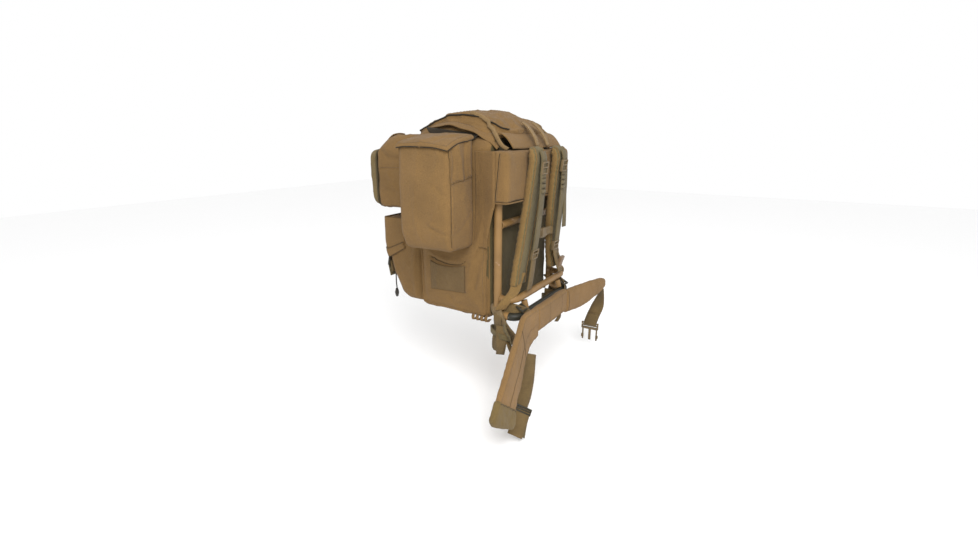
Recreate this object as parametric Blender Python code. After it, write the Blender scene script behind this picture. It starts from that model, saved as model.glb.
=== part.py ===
"""Hunting backpack: a stuffed bag with pockets on a welded tube frame, with shoulder straps and a hip belt.

Metres, +Z up. The bag's pockets face -Y, and the harness and the wearer are on the +Y side. +X is the
wearer's right. The world's origin is the middle of the lumbar pad's face, where the back carries the pack.
Shapes are drawn in the pack's own numbers, with z = 0 under the bag and y = 0 in the frame's plane, and
the empty named pack moves them all to the world's origin.
"""

import bmesh
import bpy
from math import cos, radians, sin
from mathutils import Vector

GAP = 0.0004  # between pieces that touch
SIDES = (("left", -1), ("right", 1))

# Frame
TUBE_R = 0.011
FRAME_X = 0.17  # half the width, between tube centres
FRAME_TOP = 0.440
MID_BAR_Z = 0.266
BOW_Y, BOW_Z = 0.050, 0.065
RAIL_Y, RAIL_Z = 0.062, 0.018
TOP_BEND, BOW_BEND, FOOT_BEND = 0.04, 0.03, 0.0245
POST_X, POST_R = 0.115, 0.009

# Bag
CLOTH = 0.004
BAG_X = 0.184
BAG_OUTER_Y, BAG_BACK_Y = -0.262, -0.0166
BAG_TOP, SHOULDER_Z, MOUTH_X = 0.500, 0.462, 0.150
BAG_FLOOR = 0.0

# Frame sleeve
SLEEVE_X, SLEEVE_Y, SLEEVE_Z = 0.195, (-0.0162, 0.040), (0.328, 0.458)

# Lid
LID_X = 0.156
LID_Y = (-0.305, 0.002)
LID_RIM, LID_TOP = 0.504, 0.562
LID_HINGE = Vector((0, 0.006, 0.494))

# Side pockets
SIDE_POCKET_X = (0.1845, 0.300)
SIDE_POCKET_Y = (-0.222, -0.068)
SIDE_POCKET_Z = (0.206, 0.470)
SIDE_LID_HINGE = Vector((0.190, 0, 0.493))
SIDE_POCKET_RISE = 0.018  # of the rim, from its outer edge to the bag

# Outer pockets
OUTER_POCKET_X = 0.155
OUTER_POCKET_Y = BAG_OUTER_Y - GAP
UPPER_POCKET_Y, UPPER_POCKET_Z = -0.425, (0.281, 0.462)
FRONT_BULGE = 0.040
LOWER_POCKET_Z = (0.0, 0.250)
LOWER_POCKET_Y = -0.414
MOUTH_Z = 0.205  # top of the lower pocket's front wall

# Harness
PAD_WIDTH, PAD_THICK = 0.062, 0.016
STRAP_HINGE = Vector((0, 0.030, 0.470))
WEBBING, WEB_THICK = 0.025, 0.003
BELT_WEB = 0.048
STRAP_ENDS_Z = 0.098  # clear above the lumbar bow

# Hip belt
PAD_BACK_Y = RAIL_Y + TUBE_R + GAP
PAD_FACE_Y = PAD_BACK_Y + 0.022
PAD_X, PAD_Z = 0.105, (-0.040, 0.032)
WING_HINGE = Vector((0.1085, PAD_FACE_Y, 0))
WING_THICK = 0.016

ORIGIN = Vector((0, PAD_FACE_Y, (PAD_Z[0] + PAD_Z[1]) / 2))  # of the world, in the pack's numbers

for old in list(bpy.data.objects):
    bpy.data.objects.remove(old)


def material(name, colour, roughness, metallic=0.0):
    made = bpy.data.materials.new(name)
    made.use_nodes = True
    shader = made.node_tree.nodes["Principled BSDF"]
    shader.inputs["Base Color"].default_value = (*colour, 1)
    shader.inputs["Roughness"].default_value = roughness
    shader.inputs["Metallic"].default_value = metallic
    return made


TAN_CLOTH = material("tan_cloth", (0.30, 0.19, 0.09), 0.9)
OLIVE_CLOTH = material("olive_cloth", (0.22, 0.17, 0.09), 0.9)
WEB = material("webbing", (0.26, 0.18, 0.09), 0.85)
PAINTED_TUBE = material("painted_tube", (0.36, 0.19, 0.09), 0.5, 0.2)
DARK_TUBE = material("dark_tube", (0.05, 0.045, 0.035), 0.5, 0.2)
PLASTIC = material("plastic", (0.33, 0.23, 0.15), 0.5)
CORD = material("cord", (0.03, 0.02, 0.015), 0.8)

pivots = {}


def empty(name, place, parent=None):
    """An empty at a place in the pack's numbers."""
    made = bpy.data.objects.new(name, None)
    bpy.context.scene.collection.objects.link(made)
    made.parent = parent
    made.location = place - pivots[parent.name] if parent else place - ORIGIN
    pivots[name] = place
    return made


pack = empty("pack", Vector())


def add(name, data, finish, joint):
    """A node whose shape is in the pack's numbers, under its joint's empty."""
    made = bpy.data.objects.new(name, data)
    data.materials.append(finish)
    bpy.context.scene.collection.objects.link(made)
    made.parent = joint or pack
    made.location = -pivots[made.parent.name]
    return made


def from_bmesh(name, shape, finish, joint, smooth):
    bmesh.ops.recalc_face_normals(shape, faces=shape.faces)
    data = bpy.data.meshes.new(name)
    shape.to_mesh(data)
    shape.free()
    if smooth:
        data.shade_smooth()
    return add(name, data, finish, joint)


def rounded(points, bends, steps=4):
    """The points with each inner corner turned into an arc of its bend's radius."""
    points = [Vector(p) for p in points]
    path = [points[0]]
    for before, corner, after, bend in zip(points, points[1:], points[2:], bends):
        to_before = (before - corner).normalized()
        to_after = (after - corner).normalized()
        half = to_before.angle(to_after) / 2
        centre = corner + (to_before + to_after).normalized() * bend / sin(half)
        start = corner + to_before * bend * cos(half) / sin(half) - centre
        end = corner + to_after * bend * cos(half) / sin(half) - centre
        for k in range(steps + 1):
            turn = start.rotation_difference(end)
            turn.angle *= k / steps
            path.append(centre + turn @ start)
    path.append(points[-1])
    return path


def tube(name, points, radius, finish, joint=None, detail=3):
    """A round bar along the points."""
    curve = bpy.data.curves.new(name, "CURVE")
    curve.dimensions = "3D"
    curve.bevel_depth = radius
    curve.bevel_resolution = detail
    curve.use_fill_caps = True
    curve.resolution_u = 1
    curve.render_resolution_u = 0
    spline = curve.splines.new("POLY")
    spline.points.add(len(points) - 1)
    for point, place in zip(spline.points, points):
        point.co = (*place, 1)
    return add(name, curve, finish, joint)


def loft(name, rings, finish, joint=None, smooth=False):
    """A closed body through rings of equal length, with a flat cap at each end."""
    shape = bmesh.new()
    rows = [[shape.verts.new(place) for place in ring] for ring in rings]
    count = len(rows[0])
    for row, following in zip(rows, rows[1:]):
        for k in range(count):
            j = (k + 1) % count
            shape.faces.new((row[k], row[j], following[j], following[k]))
    shape.faces.new(rows[0][::-1])
    shape.faces.new(rows[-1])
    return from_bmesh(name, shape, finish, joint, smooth)


def prism(name, axis, outline, low, high, finish, joint=None):
    """A flat outline given in the other two axes, extruded along one axis."""
    def place(at, a, b):
        values = [a, b]
        values.insert("xyz".index(axis), at)
        return Vector(values)
    return loft(name, [[place(at, a, b) for a, b in outline] for at in (low, high)], finish, joint)


def box(name, x, y, z, finish, joint=None):
    return prism(name, "z", [(x[0], y[0]), (x[1], y[0]), (x[1], y[1]), (x[0], y[1])], *z, finish, joint)


def ring(axis, at, a, b, corner, steps=2):
    """A rounded rectangle at one value of an axis, spanning a and b along the other two."""
    places = []
    for ca, cb, start in (
        (a[1] - corner, b[1] - corner, 0),
        (a[0] + corner, b[1] - corner, 90),
        (a[0] + corner, b[0] + corner, 180),
        (a[1] - corner, b[0] + corner, 270),
    ):
        for k in range(steps + 1):
            angle = radians(start + 90 * k / steps)
            values = [ca + corner * cos(angle), cb + corner * sin(angle)]
            values.insert("xyz".index(axis), at)
            places.append(Vector(values))
    return places


def cup(name, axis, sizes, finish, joint=None, wall=CLOTH, smooth=True):
    """A thin-walled hollow. sizes run from the closed end to the rim as (at, span, span, corner)."""
    outside = [ring(axis, at, a, b, corner) for at, a, b, corner in sizes]
    toward_rim = wall if sizes[-1][0] > sizes[0][0] else -wall
    inside = []
    for index, (at, a, b, corner) in enumerate(sizes):
        inner_at = at + toward_rim if index == 0 else at
        inner_a = (a[0] + wall, a[1] - wall)
        inner_b = (b[0] + wall, b[1] - wall)
        inside.append(ring(axis, inner_at, inner_a, inner_b, max(corner - wall, 0.001)))
    return loft(name, outside + inside[::-1], finish, joint, smooth)


def band(name, stations, thick, finish, joint=None):
    """A flat strap. Each station is its two edges' places; its face toward the wearer carries them."""
    stations = [(Vector(a), Vector(b)) for a, b in stations]
    rings = []
    for index, (a, b) in enumerate(stations):
        before = stations[max(index - 1, 0)]
        after = stations[min(index + 1, len(stations) - 1)]
        along = (after[0] + after[1]) - (before[0] + before[1])
        out = along.cross(b - a).normalized() * thick
        rings.append([a, b, b - out, a - out])
    return loft(name, rings, finish, joint)


def strap(name, centres, width, thick, finish, joint=None):
    """A flat strap whose width runs along X, centred on the places."""
    half = Vector((width / 2, 0, 0))
    return band(name, [(Vector(c) + half, Vector(c) - half) for c in centres], thick, finish, joint)


# Frame: painted tubes, bent and welded. The hoop's top is inside the sleeve.
foot_end = FOOT_BEND + 0.012
tube("frame_hoop", rounded([
    (-FRAME_X, foot_end, RAIL_Z), (-FRAME_X, 0, RAIL_Z), (-FRAME_X, 0, FRAME_TOP),
    (FRAME_X, 0, FRAME_TOP), (FRAME_X, 0, RAIL_Z), (FRAME_X, foot_end, RAIL_Z),
], [FOOT_BEND, TOP_BEND, TOP_BEND, FOOT_BEND]), TUBE_R, PAINTED_TUBE)
weld_x = FRAME_X - TUBE_R - GAP
tube("frame_mid_bar", [(-weld_x, 0, MID_BAR_Z), (weld_x, 0, MID_BAR_Z)], TUBE_R - 0.001, PAINTED_TUBE)
weld_y = TUBE_R + GAP
tube("frame_lumbar_bow", rounded([
    (-FRAME_X, weld_y, BOW_Z), (-FRAME_X, BOW_Y, BOW_Z), (FRAME_X, BOW_Y, BOW_Z), (FRAME_X, weld_y, BOW_Z),
], [BOW_BEND] * 2), TUBE_R - 0.001, PAINTED_TUBE)
tube("belt_rail", rounded([
    (-FRAME_X, foot_end + GAP, RAIL_Z), (-FRAME_X, RAIL_Y, RAIL_Z),
    (FRAME_X, RAIL_Y, RAIL_Z), (FRAME_X, foot_end + GAP, RAIL_Z),
], [FOOT_BEND] * 2), TUBE_R, DARK_TUBE)
for side, sign in SIDES:
    x = sign * POST_X
    tube(f"frame_post_{side}", [(x, 0.0535, BOW_Z - 0.0125), (x, 0.0595, RAIL_Z + 0.0130)],
         POST_R, PAINTED_TUBE)

# Bag: cloth panels sewn edge to edge, with its mouth under the lid.
side_outline = [
    (BAG_X, BAG_FLOOR), (BAG_X, SHOULDER_Z), (MOUTH_X, BAG_TOP),
    (MOUTH_X - CLOTH, BAG_TOP - 0.001), (BAG_X - CLOTH, SHOULDER_Z - 0.002), (BAG_X - CLOTH, BAG_FLOOR),
]
panel_y = (BAG_OUTER_Y + CLOTH + GAP, BAG_BACK_Y - CLOTH - GAP)
for side, sign in SIDES:
    prism(f"bag_side_panel_{side}", "y", [(sign * x, z) for x, z in side_outline], *panel_y, TAN_CLOTH)
face_outline = [
    (-BAG_X, BAG_FLOOR), (BAG_X, BAG_FLOOR), (BAG_X, SHOULDER_Z),
    (MOUTH_X, BAG_TOP), (-MOUTH_X, BAG_TOP), (-BAG_X, SHOULDER_Z),
]
prism("bag_outer_panel", "y", face_outline, BAG_OUTER_Y, BAG_OUTER_Y + CLOTH, TAN_CLOTH)
prism("bag_back_panel", "y", face_outline, BAG_BACK_Y - CLOTH, BAG_BACK_Y, OLIVE_CLOTH)
inner_x = BAG_X - CLOTH - GAP
box("bag_floor", (-inner_x, inner_x), panel_y, (BAG_FLOOR, BAG_FLOOR + CLOTH), TAN_CLOTH)

# Frame sleeve: a cloth pocket, open below, that drops over the frame's top and hangs the bag on it.
cup("frame_sleeve", "z", [
    (SLEEVE_Z[1], (-SLEEVE_X, SLEEVE_X), SLEEVE_Y, 0.012),
    (SLEEVE_Z[0], (-SLEEVE_X, SLEEVE_X), SLEEVE_Y, 0.012),
], TAN_CLOTH, smooth=False)

# Lid: a stuffed cloth dome, sewn to the bag along its edge toward the wearer.
lid = empty("lid_pivot", LID_HINGE, pack)
cup("lid", "z", [
    (LID_TOP, (-0.075, 0.075), (-0.252, -0.095), 0.06),
    (LID_TOP - 0.014, (-0.112, 0.112), (-0.278, -0.058), 0.07),
    (LID_TOP - 0.034, (-0.140, 0.140), (-0.296, -0.025), 0.07),
    (LID_RIM, (-LID_X, LID_X), LID_Y, 0.06),
], TAN_CLOTH, lid)

# Side pockets: deep cloth boxes with a zipped top.
for side, sign in SIDES:
    def across(near, far):
        return tuple(sorted((sign * near, sign * far)))
    inner, outer = SIDE_POCKET_X
    low, high = SIDE_POCKET_Z
    rings = [(z, a, b) for z, a, b in (
        (low, across(inner, outer - 0.030), (-0.198, -0.092)),
        (low + 0.016, across(inner, outer - 0.006), (-0.216, -0.074)),
        (low + 0.05, across(inner, outer), SIDE_POCKET_Y),
        (high, across(inner, outer), SIDE_POCKET_Y),
    )]
    outside = [ring("z", z, a, b, 0.012) for z, a, b in rings]
    inside = [
        ring("z", max(z, low + CLOTH), (a[0] + CLOTH, a[1] - CLOTH), (b[0] + CLOTH, b[1] - CLOTH), 0.008)
        for z, a, b in rings
    ]
    for place in outside[-1] + inside[-1]:
        place.z += SIDE_POCKET_RISE * (outer - abs(place.x)) / (outer - inner)
    loft(f"side_pocket_{side}", outside + inside[::-1], TAN_CLOTH, smooth=True)
    hinge = empty(f"side_lid_pivot_{side}", Vector((sign * SIDE_LID_HINGE.x, 0, SIDE_LID_HINGE.z)), pack)
    lid_outline = [(0.188, 0.4885), (0.188, 0.4930), (0.302, 0.4750), (0.302, 0.4705)]
    prism(f"side_pocket_lid_{side}", "y", [(sign * x, z) for x, z in lid_outline],
          *SIDE_POCKET_Y, TAN_CLOTH, hinge)

# Upper outer pocket: a gusset with a bulging front panel that zips open and folds down.
wide = (-OUTER_POCKET_X, OUTER_POCKET_X)
cup("upper_pocket_gusset", "y", [
    (OUTER_POCKET_Y, wide, UPPER_POCKET_Z, 0.02),
    (UPPER_POCKET_Y, wide, UPPER_POCKET_Z, 0.02),
], TAN_CLOTH)
front = empty("upper_front_pivot", Vector((0, UPPER_POCKET_Y - GAP, UPPER_POCKET_Z[0])), pack)
front_y = UPPER_POCKET_Y - GAP
cup("upper_pocket_front", "y", [
    (front_y - FRONT_BULGE, (-0.105, 0.105), (0.322, 0.415), 0.03),
    (front_y - FRONT_BULGE * 0.7, (-0.135, 0.135), (0.298, 0.443), 0.03),
    (front_y, wide, UPPER_POCKET_Z, 0.02),
], OLIVE_CLOTH, front)

# Lower outer pocket: its mouth is in front, above a low front wall, and its flap covers it.
lower_low, lower_high = LOWER_POCKET_Z
sizes = [
    (lower_low, -0.332), (0.03, -0.362), (0.10, -0.392), (0.18, LOWER_POCKET_Y), (lower_high, LOWER_POCKET_Y),
]
outside = [ring("z", z, wide, (y, OUTER_POCKET_Y), 0.02) for z, y in sizes]
inner_wide = (wide[0] + CLOTH, wide[1] - CLOTH)
inside = [ring("z", z, inner_wide, (y + CLOTH, OUTER_POCKET_Y - CLOTH), 0.016)
          for z, y in [(lower_low + CLOTH, sizes[0][1])] + sizes[1:]]
for place in outside[-1] + inside[-1]:
    if place.y < LOWER_POCKET_Y + 0.021:
        place.z = MOUTH_Z
loft("lower_pocket_body", outside + inside[::-1], TAN_CLOTH, smooth=False)
top_z = (lower_high + GAP, lower_high + GAP + CLOTH)
box("lower_pocket_top", wide, (LOWER_POCKET_Y + 0.004, OUTER_POCKET_Y), top_z, TAN_CLOTH)
flap_y = LOWER_POCKET_Y - GAP
flap = empty("flap_pivot", Vector((0, flap_y, top_z[1])), pack)
prism("lower_pocket_flap", "x", [
    (flap_y + 0.003, top_z[1]), (flap_y - CLOTH, top_z[0]), (flap_y - CLOTH, 0.178), (flap_y + 0.010, 0.128),
    (flap_y + 0.010 + CLOTH, 0.128), (flap_y, 0.178), (flap_y, top_z[0]), (flap_y + 0.003, top_z[0]),
], wide[0] + 0.004, wide[1] - 0.004, TAN_CLOTH, flap)
strap_y = flap_y - CLOTH - GAP
for side, sign in SIDES:
    strap(f"flap_strap_{side}", [
        (sign * 0.13, strap_y - WEB_THICK, 0.225), (sign * 0.13, strap_y - WEB_THICK, 0.178),
        (sign * 0.13, strap_y - WEB_THICK + 0.014, 0.124), (sign * 0.13, strap_y - WEB_THICK + 0.018, 0.075),
    ], WEBBING, -WEB_THICK, WEB, flap)

# Drawcord: hangs from the flap's right strap.
cord_y = strap_y + 0.018
tube("drawcord", [(0.13, cord_y, 0.0735), (0.13, cord_y, 0.020)], 0.002, CORD, flap, detail=2)
prism("drawcord_pull", "x", [
    (cord_y, 0.0195), (cord_y - 0.007, 0.006), (cord_y, -0.010), (cord_y + 0.007, 0.006),
], 0.127, 0.133, CORD, flap)

# Shoulder straps: padded straps joined by the sternum strap, sewn to the sleeve's top.
harness = empty("strap_pivot", STRAP_HINGE, pack)
pad_path = [
    (0.071, 0.0415, 0.470), (0.071, 0.056, 0.473), (0.072, 0.067, 0.464), (0.073, 0.072, 0.440),
    (0.074, 0.069, 0.40), (0.077, 0.062, 0.34), (0.084, 0.055, 0.27), (0.095, 0.048, 0.20),
    (0.110, 0.041, 0.14), (0.120, 0.037, STRAP_ENDS_Z),
]
web_path = [
    (0.066, 0.078, 0.392), (0.066, 0.077, 0.354), (0.067, 0.0735, 0.30), (0.069, 0.068, 0.244),
    (0.071, 0.0615, 0.190),
]
tail_path = [
    (0.073, 0.0585, 0.162), (0.080, 0.0560, 0.135), (0.094, 0.0520, 0.110), (0.100, 0.0500, STRAP_ENDS_Z),
]
for side, sign in SIDES:
    strap(f"shoulder_pad_{side}", [(sign * x, y, z) for x, y, z in pad_path],
          PAD_WIDTH, PAD_THICK, OLIVE_CLOTH, harness)
    strap(f"shoulder_webbing_{side}", [(sign * x, y, z) for x, y, z in web_path],
          WEBBING, WEB_THICK, WEB, harness)
    x = sign * 0.066
    box(f"ladder_lock_upper_{side}", (x - 0.017, x + 0.017), (0.0735, 0.0815), (0.3935, 0.428),
        PLASTIC, harness)
    x = sign * 0.071
    box(f"ladder_lock_lower_{side}", (x - 0.019, x + 0.019), (0.0535, 0.0615), (0.1635, 0.1885),
        PLASTIC, harness)
    strap(f"adjuster_webbing_{side}", [(sign * x, y, z) for x, y, z in tail_path],
          WEBBING, WEB_THICK, WEB, harness)
    anchor = [(sign * 0.118, 0.034, 0.094), (sign * 0.134, 0.026, 0.065), (sign * 0.144, 0.018, 0.033)]
    strap(f"anchor_webbing_{side}", anchor, WEBBING, WEB_THICK, WEB)

    strap(f"sternum_webbing_{side}", [(sign * 0.0385, 0.052, 0.237), (sign * 0.0385, 0.052, 0.212)],
          0.034, WEB_THICK, WEB, harness)
box("sternum_buckle", (-0.0205, 0.0205), (0.045, 0.057), (0.210, 0.240), PLASTIC, harness)

# Strap end: the left strap's lower webbing carries its own side-release buckle, clear of the pad.
box("strap_end_buckle_left", (-0.120, -0.092), (0.0600, 0.0720), (0.0990, 0.136), PLASTIC, harness)

# Loose webbing: the left strap's spare end, hanging down the pad's face.
loose_top = Vector((-0.0950, 0.0760, 0.400))
loose = empty("loose_webbing_pivot", loose_top, harness)
strap("loose_webbing", [loose_top + Vector((0, 0.001, 0)), loose_top + Vector((0, 0.001, -0.17))],
      0.021, WEB_THICK, WEB, loose)

# Hip belt: a lumbar pad on the rail, and padded wings that wrap forward from its ends.
lumbar = ring("x", -PAD_X, (PAD_BACK_Y, PAD_FACE_Y), PAD_Z, 0.006)
loft("lumbar_pad", [lumbar, [place + Vector((2 * PAD_X, 0, 0)) for place in lumbar]], TAN_CLOTH)
wing_pivots = {}
for side, sign in SIDES:
    place = Vector((sign * WING_HINGE.x, WING_HINGE.y, -0.012))
    wing_pivots[side] = empty(f"wing_pivot_{side}", place, pack)
root_x = WING_HINGE.x + 0.002
band("belt_wing_right", [
    ((root_x, 0.0954, 0.034), (root_x, 0.0954, -0.058)),
    ((0.180, 0.0960, 0.034), (0.150, 0.0960, -0.064)),
    ((0.228, 0.1050, 0.008), (0.200, 0.1050, -0.090)),
    ((0.278, 0.1150, -0.024), (0.241, 0.1150, -0.140)),
    ((0.328, 0.1250, -0.058), (0.277, 0.1250, -0.155)),
    ((0.388, 0.1350, -0.104), (0.308, 0.1350, -0.168)),
], WING_THICK, TAN_CLOTH, wing_pivots["right"])
band("wing_tip_right", [
    ((0.3895, 0.1360, -0.1055), (0.3085, 0.1360, -0.1700)),
    ((0.422, 0.1400, -0.130), (0.316, 0.1400, -0.196)),
    ((0.414, 0.1420, -0.160), (0.326, 0.1420, -0.214)),
], WING_THICK, TAN_CLOTH, wing_pivots["right"])
band("belt_wing_left", [
    ((-root_x, 0.0954, -0.050), (-root_x, 0.0954, 0.026)),
    ((-0.220, 0.1090, -0.056), (-0.225, 0.1090, 0.020)),
    ((-0.344, 0.1260, -0.040), (-0.345, 0.1260, 0.010)),
    ((-0.382, 0.1300, -0.024), (-0.374, 0.1300, 0.004)),
], WING_THICK, TAN_CLOTH, wing_pivots["left"])

# Belt webbing: a loop behind the right wing, and a free end with a buckle that hangs from the left wing.
band("belt_webbing_right", [
    ((0.155, 0.113, -0.092), (0.185, 0.079, -0.080)),
    ((0.164, 0.113, -0.161), (0.194, 0.079, -0.149)),
    ((0.212, 0.116, -0.225), (0.242, 0.082, -0.200)),
], WEB_THICK, WEB, wing_pivots["right"])
prism("belt_buckle_right", "y", [
    (0.222, -0.262), (0.250, -0.284), (0.292, -0.250), (0.300, -0.220), (0.262, -0.204), (0.224, -0.230),
], 0.122, 0.134, PLASTIC, wing_pivots["right"])
hang = Vector((-0.372, 0.118, -0.034))
free_end = empty("belt_free_end_pivot", hang, wing_pivots["left"])
half = Vector((0, BELT_WEB / 2, 0))
band("belt_webbing_left", [
    (hang + Vector((0.0015, 0, -0.003)) + half, hang + Vector((0.0015, 0, -0.003)) - half),
    (hang + Vector((0.0015, -0.034, -0.136)) + half, hang + Vector((0.0015, -0.034, -0.136)) - half),
], WEB_THICK, WEB, free_end)
box("belt_buckle_left", (hang.x - 0.007, hang.x + 0.007), (0.052, 0.116), (-0.241, -0.1715), PLASTIC, free_end)

# Strap bundles: the spare lengths of strap, folded up and tied below the frame's feet.
for side, sign in SIDES:
    middle = sign * 0.168
    loft(f"strap_bundle_{side}", [
        ring("z", z, (middle - w, middle + w), y, 0.006)
        for z, w, y in (
            (-0.0005, 0.014, (-0.018, 0.034)), (-0.030, 0.021, (-0.030, 0.048)),
            (-0.080, 0.018, (-0.026, 0.038)), (-0.108, 0.008, (-0.012, 0.016)),
        )
    ], WEB)
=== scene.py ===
"""The look of an external-frame backpack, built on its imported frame.

Shapes are drawn in the pack's own numbers, with z = 0 under the bag, y = 0 in the frame's plane and the
wearer toward +y, and each finished mesh is moved by -ORIGIN to its place in the world.
"""

from math import cos, exp, pi, radians, sin

import bmesh
import bpy
from mathutils import Matrix, Vector, noise
from mathutils.bvhtree import BVHTree
from mathutils.kdtree import KDTree


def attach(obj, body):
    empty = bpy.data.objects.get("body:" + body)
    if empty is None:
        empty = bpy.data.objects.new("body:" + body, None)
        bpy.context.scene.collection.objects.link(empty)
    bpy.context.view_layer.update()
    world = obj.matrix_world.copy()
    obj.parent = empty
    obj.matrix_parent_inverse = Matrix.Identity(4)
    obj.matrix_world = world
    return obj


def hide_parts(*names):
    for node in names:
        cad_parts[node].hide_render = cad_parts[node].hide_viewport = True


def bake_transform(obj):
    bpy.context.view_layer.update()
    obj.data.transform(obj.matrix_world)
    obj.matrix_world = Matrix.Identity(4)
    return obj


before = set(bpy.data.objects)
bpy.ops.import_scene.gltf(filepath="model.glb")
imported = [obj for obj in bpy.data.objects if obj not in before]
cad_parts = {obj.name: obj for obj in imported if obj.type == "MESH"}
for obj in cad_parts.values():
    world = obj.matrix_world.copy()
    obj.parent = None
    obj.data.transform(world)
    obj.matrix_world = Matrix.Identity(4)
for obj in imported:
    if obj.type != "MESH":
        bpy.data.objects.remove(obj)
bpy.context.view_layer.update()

SIDES = (("left", -1), ("right", 1))
ORIGIN = Vector((0, 0.0954, -0.004))  # of the world, in the pack's numbers
scene = bpy.context.scene

# Camera: low on the wearer's right, behind the shoulder straps, with a short lens.
lens = bpy.data.cameras.new("camera")
lens.sensor_width = 36
lens.lens = 18.04
camera = bpy.data.objects.new("camera", lens)
scene.collection.objects.link(camera)
turn, rise = radians(121), radians(16)
away = Vector((sin(turn) * cos(rise), -cos(turn) * cos(rise), sin(rise)))
camera.location = Vector((0, -0.13, 0.07)) - ORIGIN + away * 1.55
camera.rotation_euler = away.to_track_quat("Z", "Y").to_euler()
scene.camera = camera
scene.view_settings.view_transform = "Standard"

# Light and floor: a white room, one large soft light high on the camera's side, and a pale floor.
world = bpy.data.worlds.new("studio")
world.use_nodes = True
world.node_tree.nodes["Background"].inputs["Color"].default_value = (1, 1, 1, 1)
world.node_tree.nodes["Background"].inputs["Strength"].default_value = 1.0
scene.world = world
softbox = bpy.data.lights.new("softbox", "AREA")
softbox.shape = "DISK"
softbox.size = 1.2
softbox.energy = 45
key = bpy.data.objects.new("softbox", softbox)
scene.collection.objects.link(key)
key.location = Vector((1.45, 0.90, 1.45))
key.rotation_euler = (key.location - Vector((0, -0.15, 0.20))).to_track_quat("Z", "Y").to_euler()
shape = bmesh.new()
bmesh.ops.create_grid(shape, x_segments=1, y_segments=1, size=6)
bmesh.ops.translate(shape, vec=(0, 0, -0.2805), verts=shape.verts)
data = bpy.data.meshes.new("floor")
shape.to_mesh(data)
shape.free()
floor = bpy.data.objects.new("floor", data)
paper = bpy.data.materials.new("floor_paper")
paper.use_nodes = True
paper.node_tree.nodes["Principled BSDF"].inputs["Base Color"].default_value = (0.95, 0.95, 0.95, 1)
paper.node_tree.nodes["Principled BSDF"].inputs["Roughness"].default_value = 1.0
floor.data.materials.append(paper)
scene.collection.objects.link(floor)


# Drawcord: a thin braided cord that hangs from the flap's right strap and ends in a cord pull.
# The pull is a folded scrap of webbing knotted onto the cord, which is what a gloved hand takes hold of.
def nodes_of(name, roughness, sheen=0.0):
    """A new material's node tree, its shader and a texture coordinate node."""
    made = bpy.data.materials.new(name)
    made.use_nodes = True
    tree = made.node_tree
    shader = tree.nodes["Principled BSDF"]
    shader.inputs["Roughness"].default_value = roughness
    shader.inputs["Sheen Weight"].default_value = sheen
    shader.inputs["Sheen Roughness"].default_value = 0.5
    shader.inputs["Specular IOR Level"].default_value = 0.25
    return made, tree, shader, tree.nodes.new("ShaderNodeTexCoord")


def ramp(tree, source, stops):
    """A colour ramp fed by a socket, with stops of (position, colour)."""
    node = tree.nodes.new("ShaderNodeValToRGB")
    first, last = node.color_ramp.elements
    first.position, first.color = stops[0][0], (*stops[0][1], 1)
    last.position, last.color = stops[-1][0], (*stops[-1][1], 1)
    for position, colour in stops[1:-1]:
        node.color_ramp.elements.new(position).color = (*colour, 1)
    tree.links.new(source, node.inputs["Fac"])
    return node.outputs["Color"]


def grain(tree, coordinates, scale, detail=3.0):
    """Fine noise of this scale, from 0 to 1."""
    node = tree.nodes.new("ShaderNodeTexNoise")
    node.inputs["Scale"].default_value = scale
    node.inputs["Detail"].default_value = detail
    tree.links.new(coordinates, node.inputs["Vector"])
    return node.outputs["Fac"]


def bump(tree, shader, height, distance, strength=1.0, under=None):
    """Relief from a height, on top of another relief if one is given."""
    node = tree.nodes.new("ShaderNodeBump")
    node.inputs["Distance"].default_value = distance
    node.inputs["Strength"].default_value = strength
    tree.links.new(height, node.inputs["Height"])
    if under:
        tree.links.new(under, node.inputs["Normal"])
    tree.links.new(node.outputs["Normal"], shader.inputs["Normal"])
    return node.outputs["Normal"]


def shade(colour, factor):
    """The colour, darker or lighter."""
    return tuple(channel * factor for channel in colour)


def braid(name, colour):
    """A braided cord's finish: a fine speckle and relief that follow Object coordinates."""
    made, tree, shader, place = nodes_of(name, 0.75, 0.2)
    speckle = grain(tree, place.outputs["Object"], 900)
    tree.links.new(ramp(tree, speckle, [(0.3, shade(colour, 0.6)), (0.7, shade(colour, 1.5))]),
                   shader.inputs["Base Color"])
    bump(tree, shader, speckle, 0.0004)
    return made


def finish_piece(name, data, finish, body, slot, *replaced):
    """Makes a mesh or curve a piece that rides on its body. A piece that is blended has no body here."""
    data.transform(Matrix.Translation(-ORIGIN))
    data.materials.append(finish)
    piece = bpy.data.objects.new(name, data)
    scene.collection.objects.link(piece)
    if body:
        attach(piece, body)
    if replaced:
        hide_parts(*replaced)
    return piece


def from_shape(name, shape, finish, body, slot, *replaced, recalculated=True):
    """A finished piece from a bmesh. An open shell comes with its faces already turned outward."""
    if recalculated:
        bmesh.ops.recalc_face_normals(shape, faces=shape.faces)
    data = bpy.data.meshes.new(name)
    shape.to_mesh(data)
    shape.free()
    data.shade_smooth()
    return finish_piece(name, data, finish, body, slot, *replaced)


def line(name, paths, radius, finish, body, slot, *replaced, cyclic=False, detail=3):
    """Round bars or cords along lists of points."""
    curve = bpy.data.curves.new(name, "CURVE")
    curve.dimensions = "3D"
    curve.bevel_depth = radius
    curve.bevel_resolution = detail
    curve.use_fill_caps = True
    for path in paths:
        spline = curve.splines.new("POLY")
        spline.points.add(len(path) - 1)
        spline.use_cyclic_u = cyclic
        for point, place in zip(spline.points, path):
            point.co = (*place, 1)
    return finish_piece(name, curve, finish, body, slot, *replaced)


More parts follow.
